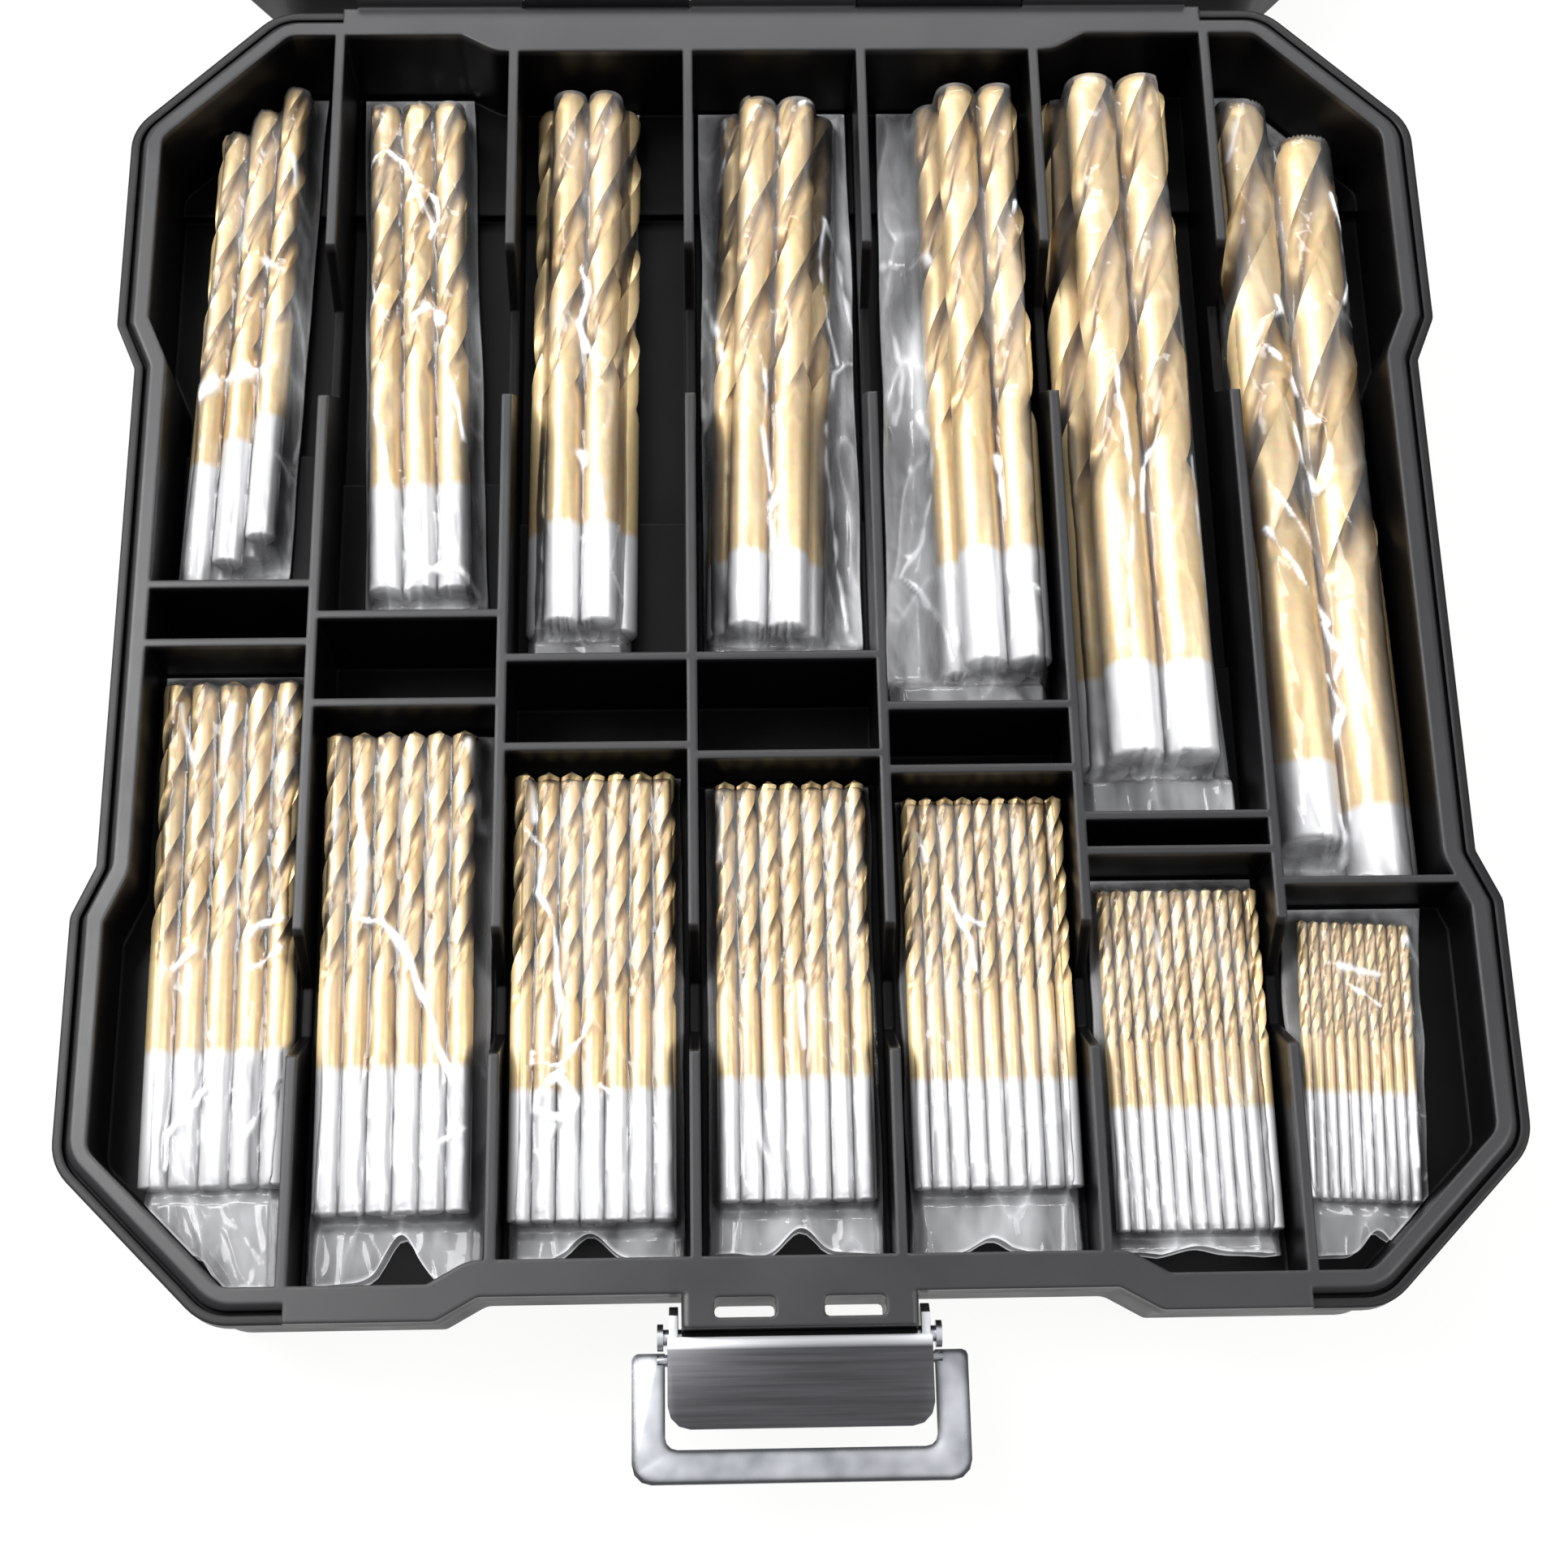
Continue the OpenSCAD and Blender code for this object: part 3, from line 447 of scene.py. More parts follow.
def coated_steel(name, bare_length):
    """Gold coating painted darker deep in the flutes, a painted shade, and bare steel for the last part of
    the shank.
    """
    material, tree, shader = new_material(name)
    shader.inputs["Metallic"].default_value = 0.45
    place = node(tree, "ShaderNodeTexCoord").outputs["Object"]
    deep = node(tree, "ShaderNodeAttribute", attribute_name="flute_depth")
    far = node(tree, "ShaderNodeAttribute", attribute_name="from_shank")
    mottle = node(tree, "ShaderNodeTexNoise", {"Vector": place}, Scale=900.0, Detail=4.0)
    # Deep in the flutes the gold is painted dark brown, a painted shade in the hollows
    gold = node(tree, "ShaderNodeValToRGB", {"Fac": deep.outputs["Fac"]})
    gold.color_ramp.elements[0].position = 0.45
    gold.color_ramp.elements[0].color = (0.84, 0.63, 0.33, 1)
    gold.color_ramp.elements[1].position = 1.0
    gold.color_ramp.elements[1].color = (0.24, 0.145, 0.065, 1)
    tint = node(tree, "ShaderNodeMix", data_type="RGBA", blend_type="MULTIPLY")
    tint.inputs[0].default_value = 0.3
    tree.links.new(gold.outputs["Color"], tint.inputs[6])
    tree.links.new(mottle.outputs["Color"], tint.inputs[7])
    edge = node(tree, "ShaderNodeMapRange", {"Value": far.outputs["Fac"]})
    edge.inputs["From Min"].default_value = bare_length - 0.0006
    edge.inputs["From Max"].default_value = bare_length + 0.0006
    skin = node(tree, "ShaderNodeMix", {0: edge.outputs["Result"]}, data_type="RGBA")
    skin.inputs[6].default_value = (0.8, 0.8, 0.81, 1)
    tree.links.new(tint.outputs[2], skin.inputs[7])
    tree.links.new(skin.outputs[2], shader.inputs["Base Color"])
    fine = node(tree, "ShaderNodeMapRange", {"Value": mottle.outputs["Fac"]})
    fine.inputs["To Min"].default_value = 0.32
    fine.inputs["To Max"].default_value = 0.5
    tree.links.new(fine.outputs["Result"], shader.inputs["Roughness"])
    ground = node(tree, "ShaderNodeBump", {"Height": mottle.outputs["Fac"]}, Strength=0.12, Distance=0.00003)
    tree.links.new(ground.outputs["Normal"], shader.inputs["Normal"])
    return material


drill_tree = twist_drill_tree()
drill_inputs = {item.name: item.identifier
                for item in drill_tree.interface.items_tree if item.in_out == "INPUT"}
helix_angle = math.radians(28)
for (size, diameter, length, fluted, low, top, bare, x0, y0, turn, slope, floor) in drill_sets:
    heading = Matrix.Rotation(math.radians(turn), 4, "Z")
    ends = []
    for x, y, z in layer_places(diameter, low, top, slope):
        ends.append((heading @ Vector((x, y, 0)) + Vector((x0, y0, floor + z))) * millimetre)
    points = bpy.data.meshes.new("shank_ends_" + size)
    points.from_pydata(ends, [], [])
    spins = points.attributes.new("spin", "FLOAT", "POINT")
    spins.data.foreach_set("value", [0.6 + 2.4 * k for k in range(len(ends))])
    bundle = bpy.data.objects.new("drills_" + size, points)
    bpy.context.scene.collection.objects.link(bundle)
    grow = bundle.modifiers.new("drills", "NODES")
    grow.node_group = drill_tree
    around = 28 if diameter > 4.2 else 20
    per_turn = 24 if diameter > 4.2 else 18
    lead = diameter * math.pi / math.tan(helix_angle)
    rings = 6 + int(per_turn * fluted / lead)
    for name, value in (("Diameter", diameter * millimetre), ("Length", length * millimetre),
                        ("Fluted length", fluted * millimetre), ("Lead", lead * millimetre),
                        ("Point", 0.3 * diameter * millimetre), ("Core", 0.45),
                        ("Turn", math.radians(turn)), ("Points around", around + 1), ("Rings", rings),
                        ("Finish", coated_steel("gold_coated_steel_" + size, bare * millimetre))):
        grow[drill_inputs[name]] = value
    bpy.context.view_layer.update()
    graph = bpy.context.evaluated_depsgraph_get()
    plain_mesh = bpy.data.meshes.new_from_object(
        bundle.evaluated_get(graph), preserve_all_data_layers=True, depsgraph=graph)
    bundle.modifiers.clear()
    bundle.data = plain_mesh
    work = bmesh.new()
    work.from_mesh(plain_mesh)
    bmesh.ops.recalc_face_normals(work, faces=work.faces)
    work.to_mesh(plain_mesh)
    work.free()
    plain_mesh.shade_smooth()
    plain_mesh.set_sharp_from_angle(angle=math.radians(48))
    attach(bundle, "base")
    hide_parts("bits_" + size)


# ---- Clear bags ----
# Soft polythene sleeves, heat sealed across the tips of the drills and open past the
# shanks. They are laid in the pockets by hand, so the film is creased and tented over
# the drills.

clear_film, tree, shader = new_material("clear_polythene")
shader.inputs["Base Color"].default_value = (0.9, 0.91, 0.93, 1)
shader.inputs["Roughness"].default_value = 0.35
place = node(tree, "ShaderNodeTexCoord").outputs["Object"]
crumple = node(tree, "ShaderNodeTexNoise", {"Vector": place}, Scale=260.0, Detail=3.0)
drawn = node(tree, "ShaderNodeMapping", {"Vector": place})
drawn.inputs["Scale"].default_value = (1, 0.3, 1)
haze = node(tree, "ShaderNodeTexNoise", {"Vector": drawn.outputs["Vector"]}, Scale=150.0, Detail=4.0)
cloud = node(tree, "ShaderNodeMapRange", {"Value": haze.outputs["Fac"]},
             **{"From Min": 0.36, "From Max": 0.68, "To Min": 0.35, "To Max": 1.6})
# Loose film past the drills is doubled and wrinkled, so it is milkier than film drawn over them. The same
# attribute also carries painted shade, which makes the film less milky in places.
loose_film_and_shade = node(tree, "ShaderNodeAttribute", attribute_name="loose_film_and_shade")
milky = node(tree, "ShaderNodeMapRange", {"Value": loose_film_and_shade.outputs["Fac"]},
             **{"To Min": 0.06, "To Max": 0.4})
clouded = node(tree, "ShaderNodeMath", {0: milky.outputs["Result"], 1: cloud.outputs["Result"]},
               operation="MULTIPLY")
# Painted highlights along the folds, on the crumples' crests and at the cut edges come in as an attribute
# that raises the film's opacity
painted_glint = node(tree, "ShaderNodeAttribute", attribute_name="painted_glint")
cover = node(tree, "ShaderNodeMath", {0: clouded.outputs[0], 1: painted_glint.outputs["Fac"]},
             operation="ADD", use_clamp=True)
tree.links.new(cover.outputs[0], shader.inputs["Alpha"])
ripple = node(tree, "ShaderNodeBump", {"Height": crumple.outputs["Fac"]}, Strength=0.3, Distance=0.0004)
gloss = node(tree, "ShaderNodeBsdfGlossy", {"Normal": ripple.outputs["Normal"]}, Roughness=0.13)
sheen = node(tree, "ShaderNodeFresnel", {"Normal": ripple.outputs["Normal"]}, IOR=1.45)
mix = node(tree, "ShaderNodeMixShader", {0: sheen.outputs[0], 1: shader.outputs[0], 2: gloss.outputs[0]})
tree.links.new(mix.outputs[0], tree.nodes["Material Output"].inputs["Surface"])


def smoothed(heights, across, along):
    """The heights blurred by a number of cells each way, as taut film bridges hollows."""
    for axis, cells in ((0, across), (1, along)):
        reach = int(3 * cells) + 1
        weights = np.exp(-0.5 * (np.arange(-reach, reach + 1) / cells) ** 2)
        weights /= weights.sum()
        padded = np.pad(heights, [(reach, reach) if a == axis else (0, 0) for a in (0, 1)], mode="edge")
        heights = np.apply_along_axis(lambda line: np.convolve(line, weights, "valid"), axis, padded)
    return heights


def distance_from(points, x, y):
    """Distance of every cell from the line drawn through the points."""
    nearest = np.full(x.shape, np.inf)
    for (ax, ay), (bx, by) in zip(points, points[1:]):
        along = ((x - ax) * (bx - ax) + (y - ay) * (by - ay)) / math.hypot(bx - ax, by - ay) ** 2
        along = np.clip(along, 0, 1)
        nearest = np.minimum(nearest, np.hypot(x - ax - along * (bx - ax), y - ay - along * (by - ay)))
    return nearest


def rumple(x, y, across, along, seed):
    """Smooth noise over the sheet, stretched along the drills."""
    return np.array([[noise.noise(Vector((a / across, b / along, seed))) for a, b in zip(row_x, row_y)]
                     for row_x, row_y in zip(x, y)])


# Each bag's outline on the pocket's floor: left and right side at the sealed end, the
# same at the mouth, and how far the mouth's middle dips back, in millimetres
bag_outlines = {
    "4_5": ((-89.0, -72.0, 97.6), (-91.7, -74.6, 4.6), 2.5),
    "5_0": ((-67.0, -48.2, 97.2), (-63.6, -43.6, 0.2), 0.6),
    "5_5": ((-37.4, -21.2, 94.4), (-39.4, -22.3, -7.4), 1.8),
    "6_0": ((-12.6, 12.5, 94.4), (-12.6, 12.7, -7.4), 2.2),
    "6_5": ((16.4, 40.0, 94.4), (15.0, 40.1, -15.2), 1.5),
    "8_0": ((42.3, 62.8, 94.6), (42.3, 66.9, -32.2), 1.0),
    "10_0": ((69.6, 91.5, 97.6), (69.6, 91.8, -42.6), 1.2),
    "4_0": ((-91.8, -69.4, -6.8), (-90.0, -69.4, -97.4), 4.0),
    "3_5": ((-67.2, -42.1, -16.4), (-67.2, -42.0, -97.4), 6.5),
    "3_2": ((-39.9, -14.8, -23.4), (-39.9, -14.7, -94.3), 3.5),
    "3_0": ((-12.6, 12.5, -24.9), (-12.6, 12.6, -94.3), 3.8),
    "2_5": ((14.8, 39.9, -27.3), (14.8, 40.0, -94.3), 2.0),
    "2_0": ((42.1, 67.3, -39.9), (42.1, 67.2, -94.6), 1.0),
    "1_5": ((69.5, 91.5, -44.6), (69.5, 88.5, -95.0), 3.0)}
corner_reach = 174.1
# Where the photograph's camera stood, in millimetres, and how it was turned, in degrees
picture_width = 1932
focal_length = 3120
camera_place = (-10.04, -149.9, 358.49)
camera_turn = (19.836, -1.184, -1.09)
# Height of each bag's upper film above the table
film_height = {
    "4_5": 13.02, "5_0": 13.92, "5_5": 14.92, "6_0": 15.82, "6_5": 16.72, "8_0": 19.52, "10_0": 14.52,
    "4_0": 14, "3_5": 16.6, "3_2": 16, "3_0": 15.7, "2_5": 14.8, "2_0": 13.8, "1_5": 12.9}
# The sharp folds that show on each bag: width in millimetres, whiteness of the painted highlight along the
# fold, and a line picked in the photograph, in its pixels
fold_lines = {
    "4_5": (
        (1, 0.8, (243, 487), (265, 470), (300, 460), (330, 452)),
        (0.35, 0.5, (355, 170), (372, 250), (366, 330)),
        (0.4, 0.5, (345, 560), (374, 580)),
        (0.3, 0.45, (360, 350), (372, 470), (350, 560), (345, 660)),
        (0.3, 0.4, (285, 110), (300, 150)),
        (0.5, 0.45, (325, 320), (350, 335))),
    "5_0": (
        (0.3, 1, (442, 215), (455, 200), (478, 190), (495, 198), (510, 225), (520, 250),
         (535, 285)),
        (0.3, 0.9, (505, 245), (520, 232), (538, 245), (541, 270), (530, 292)),
        (0.6, 0.9, (512, 392), (530, 380), (545, 398)),
        (0.3, 0.7, (458, 340), (462, 370), (450, 390)),
        (0.3, 0.8, (468, 470), (463, 510), (475, 560), (482, 600)),
        (0.3, 0.8, (546, 440), (560, 480), (572, 540)),
        (0.4, 0.8, (553, 630), (562, 680)),
        (0.6, 0.8, (500, 720), (540, 700), (585, 712)),
        (0.25, 0.5, (560, 60), (585, 75)),
        (0.3, 0.35, (430, 260), (436, 420), (450, 640))),
    "5_5": (
        (0.35, 0.9, (718, 330), (727, 360), (714, 400), (722, 430), (737, 462)),
        (0.7, 0.75, (715, 560), (735, 590), (745, 630), (738, 660)),
        (0.25, 0.6, (775, 170), (786, 120)),
        (0.3, 0.4, (660, 120), (655, 260), (648, 480), (645, 700)),
        (0.3, 0.45, (765, 640), (752, 700), (775, 740)),
        (0.5, 0.6, (725, 690), (735, 740))),
    "6_0": (
        (0.3, 0.9, (1020, 250), (1010, 300), (1018, 350), (1035, 410)),
        (0.45, 1, (1020, 250), (1036, 285), (1045, 330), (1060, 378), (1074, 400)),
        (0.3, 0.9, (1074, 402), (1050, 405), (1031, 422), (1022, 480), (1022, 540), (1030, 620),
         (1040, 700), (1050, 745)),
        (0.6, 0.9, (860, 370), (862, 440), (868, 490)),
        (0.4, 0.8, (868, 330), (885, 400), (893, 440)),
        (0.3, 0.7, (938, 440), (946, 480), (940, 520), (950, 600)),
        (0.3, 0.6, (890, 120), (896, 160), (885, 200)),
        (0.3, 0.8, (985, 130), (1010, 115), (1046, 90)),
        (0.4, 0.7, (960, 500), (965, 560), (950, 640), (958, 700)),
        (0.3, 0.5, (1080, 420), (1078, 560), (1090, 680))),
    "6_5": (
        (0.35, 0.75, (1140, 470), (1151, 520), (1153, 580), (1140, 630), (1115, 670)),
        (0.35, 0.75, (1118, 672), (1140, 690), (1155, 720), (1178, 795)),
        (0.3, 0.6, (1165, 660), (1176, 700), (1182, 790)),
        (0.35, 0.9, (1252, 250), (1246, 275), (1262, 295), (1272, 302)),
        (0.3, 0.6, (1268, 720), (1290, 730), (1297, 800)),
        (0.25, 0.55, (1278, 70), (1287, 220), (1302, 420)),
        (0.7, 0.55, (1090, 280), (1140, 290), (1150, 300)),
        (0.6, 0.4, (1100, 350), (1120, 420), (1110, 480)),
        (0.5, 0.6, (1230, 560), (1240, 640))),
    "8_0": (
        (0.35, 1, (1370, 440), (1378, 490), (1385, 520), (1392, 580), (1395, 640)),
        (0.35, 0.9, (1428, 525), (1412, 570), (1407, 625)),
        (0.3, 0.75, (1395, 640), (1392, 700), (1398, 800), (1412, 900)),
        (0.3, 0.4, (1470, 560), (1490, 740), (1510, 900)),
        (0.3, 0.5, (1336, 220), (1352, 212))),
    "10_0": (
        (0.35, 1, (1545, 424), (1556, 402), (1580, 385), (1574, 368)),
        (0.4, 1, (1558, 430), (1590, 448), (1601, 480), (1615, 510), (1632, 522), (1640, 575)),
        (0.4, 1, (1642, 582), (1627, 601), (1607, 562), (1597, 530), (1580, 490)),
        (0.4, 0.8, (1562, 600), (1598, 640), (1625, 680)),
        (0.4, 0.9, (1560, 650), (1590, 692), (1620, 730), (1637, 762)),
        (0.35, 1, (1640, 240), (1656, 280), (1666, 340), (1652, 380), (1640, 370)),
        (0.3, 0.8, (1652, 382), (1676, 402)),
        (0.7, 1, (1600, 60), (1628, 105), (1655, 120)),
        (0.4, 0.8, (1600, 108), (1622, 70)),
        (0.6, 1, (1662, 208), (1672, 222)),
        (0.45, 0.9, (1640, 830), (1656, 870), (1645, 925)),
        (0.4, 0.7, (1630, 760), (1655, 800), (1650, 830)),
        (0.5, 0.6, (1530, 130), (1512, 200)),
        (0.5, 0.8, (1655, 1000), (1665, 1045))),
    "4_0": (
        (0.35, 0.9, (268, 1320), (240, 1360), (207, 1398), (203, 1440)),
        (0.35, 0.9, (348, 1330), (330, 1350), (303, 1405)),
        (0.4, 0.8, (212, 1196), (240, 1168)),
        (0.4, 0.8, (302, 1160), (320, 1140), (352, 1135)),
        (0.35, 0.8, (347, 1168), (312, 1192)),
        (0.5, 0.6, (290, 870), (270, 960)),
        (0.4, 0.5, (225, 870), (240, 960)),
        (0.3, 0.4, (362, 870), (368, 1100), (360, 1400))),
    "3_5": (
        (0.4, 1, (440, 1130), (470, 1136), (490, 1160), (510, 1200), (540, 1290), (560, 1340),
         (563, 1375)),
        (0.5, 0.75, (440, 960), (450, 1060), (443, 1122)),
        (0.7, 0.6, (580, 915), (585, 950), (590, 1010)),
        (0.3, 0.5, (540, 1410), (575, 1390)),
        (0.5, 0.4, (415, 1000), (410, 1100))),
    "3_2": (
        (0.35, 1, (650, 1025), (671, 1050), (664, 1100), (680, 1130), (686, 1170), (691, 1240),
         (682, 1285)),
        (0.35, 1, (658, 1298), (656, 1312), (690, 1310), (720, 1275), (733, 1242)),
        (0.45, 1, (690, 1320), (664, 1348), (660, 1372), (700, 1382), (712, 1358), (690, 1330)),
        (0.35, 0.8, (682, 1390), (670, 1440), (665, 1492)),
        (0.3, 0.5, (740, 1340), (760, 1350)),
        (0.5, 0.5, (655, 960), (660, 1010))),
    "3_0": (
        (0.4, 0.5, (880, 970), (890, 1010), (885, 1060)),
        (0.4, 0.6, (925, 1340), (935, 1400), (950, 1440)),
        (0.3, 0.45, (1030, 1040), (1022, 1120)),
        (0.5, 0.5, (985, 1210), (990, 1290))),
    "2_5": (
        (0.35, 0.7, (1165, 1090), (1180, 1130), (1195, 1160), (1202, 1195)),
        (0.3, 0.6, (1190, 1130), (1212, 1142)),
        (0.4, 0.6, (1250, 1340), (1256, 1385)),
        (0.4, 0.5, (1130, 1030), (1140, 1060)),
        (0.25, 0.45, (1298, 1010), (1312, 1100), (1320, 1250))),
    "2_0": (
        (0.4, 0.4, (1420, 1130), (1430, 1200)),
        (0.3, 0.35, (1560, 1110), (1566, 1200)),
        (0.3, 0.4, (1350, 1100), (1362, 1180))),
    "1_5": (
        (0.7, 0.8, (1735, 1160), (1760, 1190), (1770, 1240), (1775, 1300), (1781, 1365)),
        (0.5, 0.8, (1738, 1372), (1772, 1366)),
        (0.5, 0.7, (1740, 1400), (1746, 1440)),
        (0.5, 0.5, (1640, 1185), (1700, 1200)),
        (0.3, 0.6, (1660, 1210), (1700, 1240)),
        (0.4, 0.5, (1790, 1420), (1760, 1450)))}


def seen_at(across, down, height):
    """Place in the case of a point of the photograph at this height, to a tenth of a millimetre."""
    middle = picture_width / 2
    turned = Euler([math.radians(angle) for angle in camera_turn]).to_matrix()
    sight = turned @ Vector(((across - middle) / focal_length, (middle - down) / focal_length, -1))
    reach = (height - camera_place[2]) / sight.z
    return round(camera_place[0] + reach * sight.x, 1), round(camera_place[1] + reach * sight.y, 1)


for (size, diameter, length, fluted, low, top, bare, x0, y0, turn, slope, floor) in drill_sets:
    (seal_left, seal_right, seal_y), (mouth_left, mouth_right, mouth_y), dip = bag_outlines[size]
    columns, rows = 96, 210
    share_x, share_y = np.meshgrid(np.linspace(0, 1, columns), np.linspace(0, 1, rows),
                                   indexing="ij")
    left = mouth_left + (seal_left - mouth_left) * share_y
    right = mouth_right + (seal_right - mouth_right) * share_y
    wander = np.array([[noise.noise(Vector((s * 5, 7.3 * y0, 0))), noise.noise(Vector((s * 5, 3.1 * y0, 9)))]
                       for s in np.linspace(0, 1, rows)])
    left = left + 0.5 + 0.5 * wander[:, 0]
    right = right - 0.5 + 0.5 * wander[:, 1]
    x = left + (right - left) * share_x
    limit = corner_reach - np.abs(x)
    end_seal = np.minimum(seal_y, limit)
    wave = np.array([noise.noise(Vector((s * 3.2, y0, 4))) for s in np.linspace(0, 1, columns)])[:, None]
    notch = dip * np.exp(-((share_x - 0.5 + 0.15 * wave[columns // 2]) / 0.13) ** 2) + 1.3 * np.abs(wave)
    end_mouth = np.maximum(mouth_y + 0.3 + notch, -limit)
    y = end_mouth + (end_seal - end_mouth) * share_y

    # Height of the drills' upper surface below the film, in the bundle's own directions
    heading = math.radians(turn)
    local_x = (x - x0) * math.cos(heading) + (y - y0) * math.sin(heading)
    local_y = -(x - x0) * math.sin(heading) + (y - y0) * math.cos(heading)
    radius = diameter / 2
    drills = np.zeros_like(x)
    for dx, dy, dz in layer_places(diameter, low, top, slope):
        beside = np.abs(local_x - dx) < radius
        inside = beside & (local_y > dy - 0.3) & (local_y < dy + length - 0.25 * diameter)
        dome = dz + np.sqrt(np.maximum(radius ** 2 - (local_x - dx) ** 2, 0))
        drills = np.maximum(drills, np.where(inside, dome, 0))
    cell_x = (mouth_right - mouth_left) / columns
    cell_y = (seal_y - mouth_y) / rows
    tent = smoothed(drills, 1.1 / cell_x, 1.8 / cell_y)
    tent = np.maximum(tent, smoothed(np.maximum(drills, tent), 0.35 / cell_x, 0.7 / cell_y))
    tall = drills.max()

    # Sharp folds, and a net of soft crumples whose crests are painted whiter, painted highlights like those
    # along the folds
    slow = rumple(x, y, 7, 16, y0)
    quick_wave = rumple(x, y, 2.2, 5, y0 + 50)
    folds = np.zeros_like(x)
    white = np.zeros_like(x)
    patchy = np.clip(0.85 + 1.3 * rumple(x, y, 1.7, 3.5, y0 + 30), 0.2, 1.15)
    for width, bright, *picked in fold_lines[size]:
        line = [seen_at(*point, film_height[size]) for point in picked]
        off = distance_from(line, x + 0.4 * quick_wave, y + 0.8 * slow)
        folds = np.maximum(folds, 0.6 * bright * np.exp(-off / (1.5 * width)))
        white = np.maximum(white, bright * patchy * np.exp(-(off / (width * patchy)) ** 2))
    crest = 1 - np.minimum(1, 3 * np.abs(rumple(x, y, 5.5, 17, y0 + 20)))
    small_crest = 1 - np.minimum(1, 3 * np.abs(rumple(x + 0.3 * y, y, 3.1, 8, y0 + 80)))
    loose_film_and_shade = 1 - smoothed((drills > 0).astype(float), 0.5 / cell_x, 0.8 / cell_y)
    # The rear bags' mouths are painted less milky than their sides, and the front bags' loose film less
    # milky all over, as painted shade
    loose_film_and_shade *= 0.36 if floor == front_floor else 1 - 0.65 * np.clip(-local_y / 3, 0, 1)
    folds += 0.32 * crest ** 2 + 0.16 * small_crest ** 2
    white = np.maximum(white, (0.05 + 0.2 * loose_film_and_shade) * crest ** 6)

    # The film lifts off towards the mouth and closes flat at the seal and along its sides
    past_shank = np.clip((1.5 - local_y) / 4.0, 0, 1)
    mouth_lift = past_shank * (0.45 * tall + 0.8)
    top_sheet = np.maximum(tent, mouth_lift) + 0.22 + folds + 0.35 * (slow + 0.5) + 0.1 * (quick_wave + 0.5)
    from_side = np.minimum(share_x, 1 - share_x) * (right - left)
    from_seal = (1 - share_y) * (end_seal - end_mouth)
    closing = np.clip(from_side / 1.6, 0, 1) ** 0.6 * np.clip(from_seal / 2.2, 0, 1) ** 0.7
    bottom_height = -0.28
    side_height = bottom_height + 0.5
    z_top = side_height + (np.maximum(top_sheet, drills + 0.2) - side_height) * closing
    z_bottom = bottom_height + 0.5 * (1 - closing)
    # The cut edge of the mouth, the seal and the folded sides catch the light
    from_mouth = share_y * (end_seal - end_mouth)
    white = np.maximum(white, 0.35 * patchy * np.exp(-(from_mouth / 0.3) ** 2))
    white = np.maximum(white, 0.3 * np.exp(-(from_seal / 0.5) ** 2))
    white = np.maximum(white, 0.22 * np.exp(-(from_side / 0.35) ** 2))

    vertices = []
    whiteness = []
    loose_film_and_shade_values = []
    under = 24
    under_index = np.linspace(columns - 1, 0, under + 2).round().astype(int)[1:-1]
    for j in range(rows):
        for i in range(columns):
            vertices.append((x[i, j], y[i, j], floor + z_top[i, j]))
            whiteness.append(white[i, j])
            loose_film_and_shade_values.append(loose_film_and_shade[i, j])
        for i in under_index:
            vertices.append((x[i, j], y[i, j], floor + z_bottom[i, j]))
            whiteness.append(0.45 if j == 0 else 0.0)
            loose_film_and_shade_values.append(0.3)
    ring = columns + under
    faces = []
    for j in range(rows - 1):
        for i in range(ring):
            a, b = j * ring + i, j * ring + (i + 1) % ring
            faces.append((a, b, b + ring, a + ring))
    last = (rows - 1) * ring
    faces.append(tuple(last + i for i in range(ring)))
    mesh = bpy.data.meshes.new("bag_" + size)
    mesh.from_pydata([Vector(v) * millimetre for v in vertices], [], faces)
    marks = mesh.attributes.new("painted_glint", "FLOAT", "POINT")
    marks.data.foreach_set("value", whiteness)
    marks = mesh.attributes.new("loose_film_and_shade", "FLOAT", "POINT")
    marks.data.foreach_set("value", loose_film_and_shade_values)
    mesh.materials.append(clear_film)
    mesh.shade_smooth()
    film = bpy.data.objects.new("film_bag_" + size, mesh)
    bpy.context.scene.collection.objects.link(film)
    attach(film, "base")
    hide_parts("bag_" + size)


# ---- Studio ----
# A white table and background, a large soft light above and to the left, a weaker one
# to the right and one behind. The camera looks down steeply from the front.

table_mesh = bpy.data.meshes.new("table")
half_table = 3
table_top = -0.0003
table_mesh.from_pydata([(x * half_table, y * half_table, table_top)
                        for x, y in ((-1, -1), (1, -1), (1, 1), (-1, 1))], [], [(0, 1, 2, 3)])
table = bpy.data.objects.new("table", table_mesh)
bpy.context.scene.collection.objects.link(table)
white_table, tree, shader = new_material("white_table")
shader.inputs["Base Color"].default_value = (0.92, 0.92, 0.915, 1)
shader.inputs["Roughness"].default_value = 0.9
glow = node(tree, "ShaderNodeEmission", Strength=1.0)
glow.inputs["Color"].default_value = (0.995, 0.995, 0.985, 1)
path = node(tree, "ShaderNodeLightPath")
seen = node(tree, "ShaderNodeMath", {0: path.outputs["Is Camera Ray"], 1: path.outputs["Is Glossy Ray"]},
            operation="MAXIMUM")
seen = node(tree, "ShaderNodeMath", {0: seen.outputs[0], 1: path.outputs["Is Transmission Ray"]},
            operation="MAXIMUM")
amount = node(tree, "ShaderNodeMath", {0: seen.outputs[0]}, operation="MULTIPLY")
amount.inputs[1].default_value = 0.93
mix = node(tree, "ShaderNodeMixShader", {0: amount.outputs[0], 1: shader.outputs[0], 2: glow.outputs[0]})
tree.links.new(mix.outputs[0], tree.nodes["Material Output"].inputs["Surface"])
table_mesh.materials.append(white_table)
table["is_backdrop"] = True

world = bpy.data.worlds.new("studio")
bpy.context.scene.world = world
world.use_nodes = True
tree = world.node_tree
room = tree.nodes["Background"]
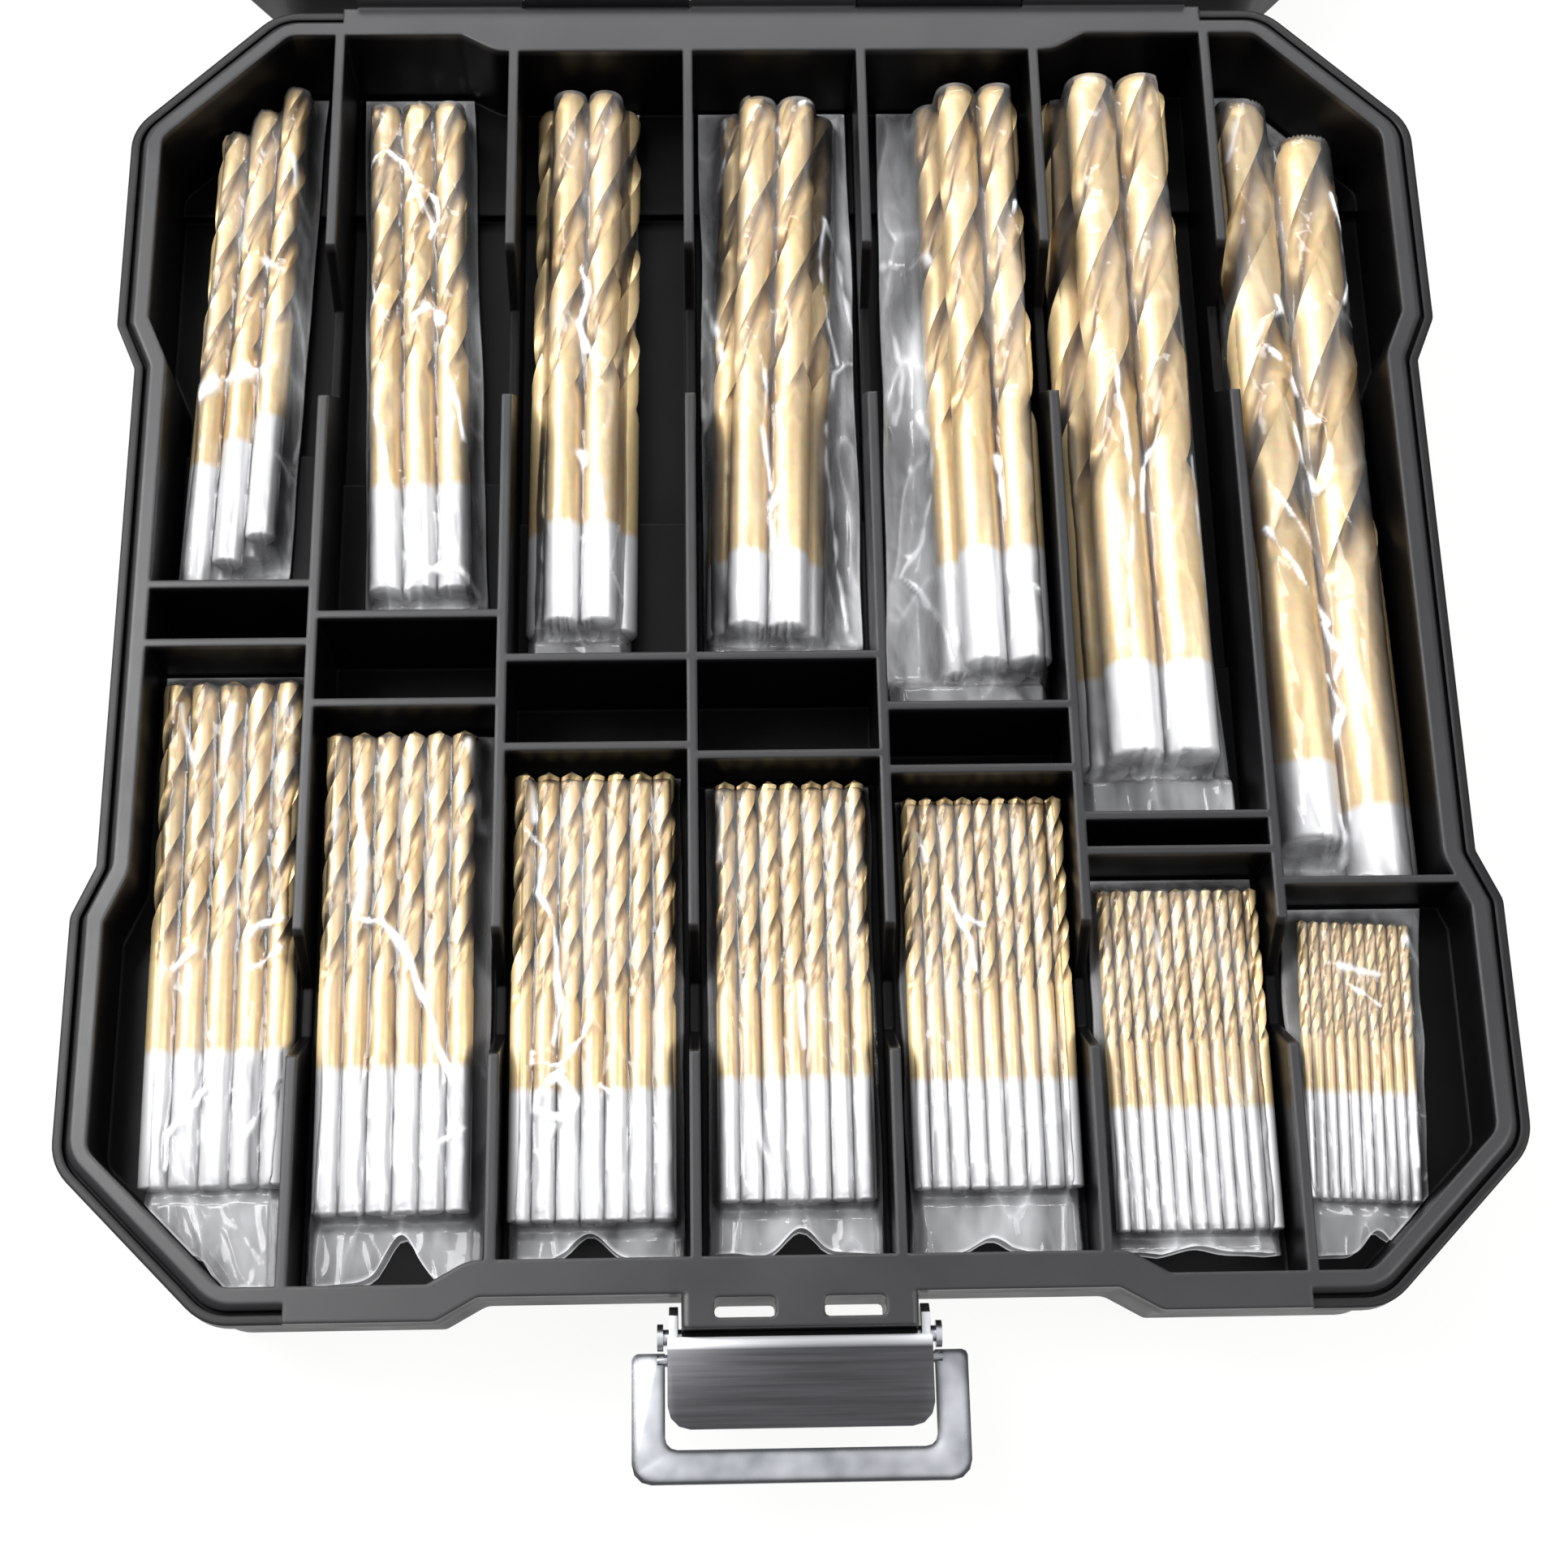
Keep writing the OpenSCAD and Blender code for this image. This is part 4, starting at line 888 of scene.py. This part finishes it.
# The room is brighter overhead than at its walls, which gives the metal its dark edges
sky = node(tree, "ShaderNodeTexCoord").outputs["Generated"]
up = node(tree, "ShaderNodeSeparateXYZ", {0: sky}).outputs["Z"]
overhead = node(tree, "ShaderNodeMapRange", {"Value": up},
                **{"From Min": 0.15, "From Max": 0.75, "To Min": 0.08, "To Max": 1.0})
tree.links.new(overhead.outputs["Result"], room.inputs["Strength"])
room.inputs["Color"].default_value = (0.92, 0.93, 0.95, 1)
bright = node(tree, "ShaderNodeBackground", Strength=1.0)
path = node(tree, "ShaderNodeLightPath")
seen = node(tree, "ShaderNodeMath",
            {0: path.outputs["Is Camera Ray"], 1: path.outputs["Is Transmission Ray"]}, operation="MAXIMUM")
mix = node(tree, "ShaderNodeMixShader", {0: seen.outputs[0], 1: room.outputs[0], 2: bright.outputs[0]})
tree.links.new(mix.outputs[0], tree.nodes["World Output"].inputs["Surface"])


def soft_light(name, place, aim, size, power):
    lamp = bpy.data.lights.new(name, "AREA")
    lamp.shape = "RECTANGLE"
    lamp.size, lamp.size_y = size
    lamp.energy = power
    holder = bpy.data.objects.new(name, lamp)
    holder.location = place
    holder.rotation_euler = (Vector(aim) - Vector(place)).to_track_quat("-Z", "Y").to_euler()
    bpy.context.scene.collection.objects.link(holder)


soft_light("key_light", (-0.55, 0.25, 0.75), (0, 0, 0), (0.5, 0.7), 14)
soft_light("fill_light", (0.6, -0.2, 0.6), (0, 0, 0), (0.4, 0.5), 4)
soft_light("rear_light", (0.0, 0.75, 0.55), (0, 0, 0), (0.8, 0.2), 6)

lens = bpy.data.cameras.new("camera")
lens.sensor_width = 36
lens.sensor_fit = "HORIZONTAL"
lens.lens = lens.sensor_width * focal_length / picture_width
lens.clip_start = 0.01
camera = bpy.data.objects.new("camera", lens)
camera.location = [value * millimetre for value in camera_place]
camera.rotation_euler = [math.radians(angle) for angle in camera_turn]
bpy.context.scene.collection.objects.link(camera)
bpy.context.scene.camera = camera
bpy.context.scene.view_settings.view_transform = "Standard"

low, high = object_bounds()
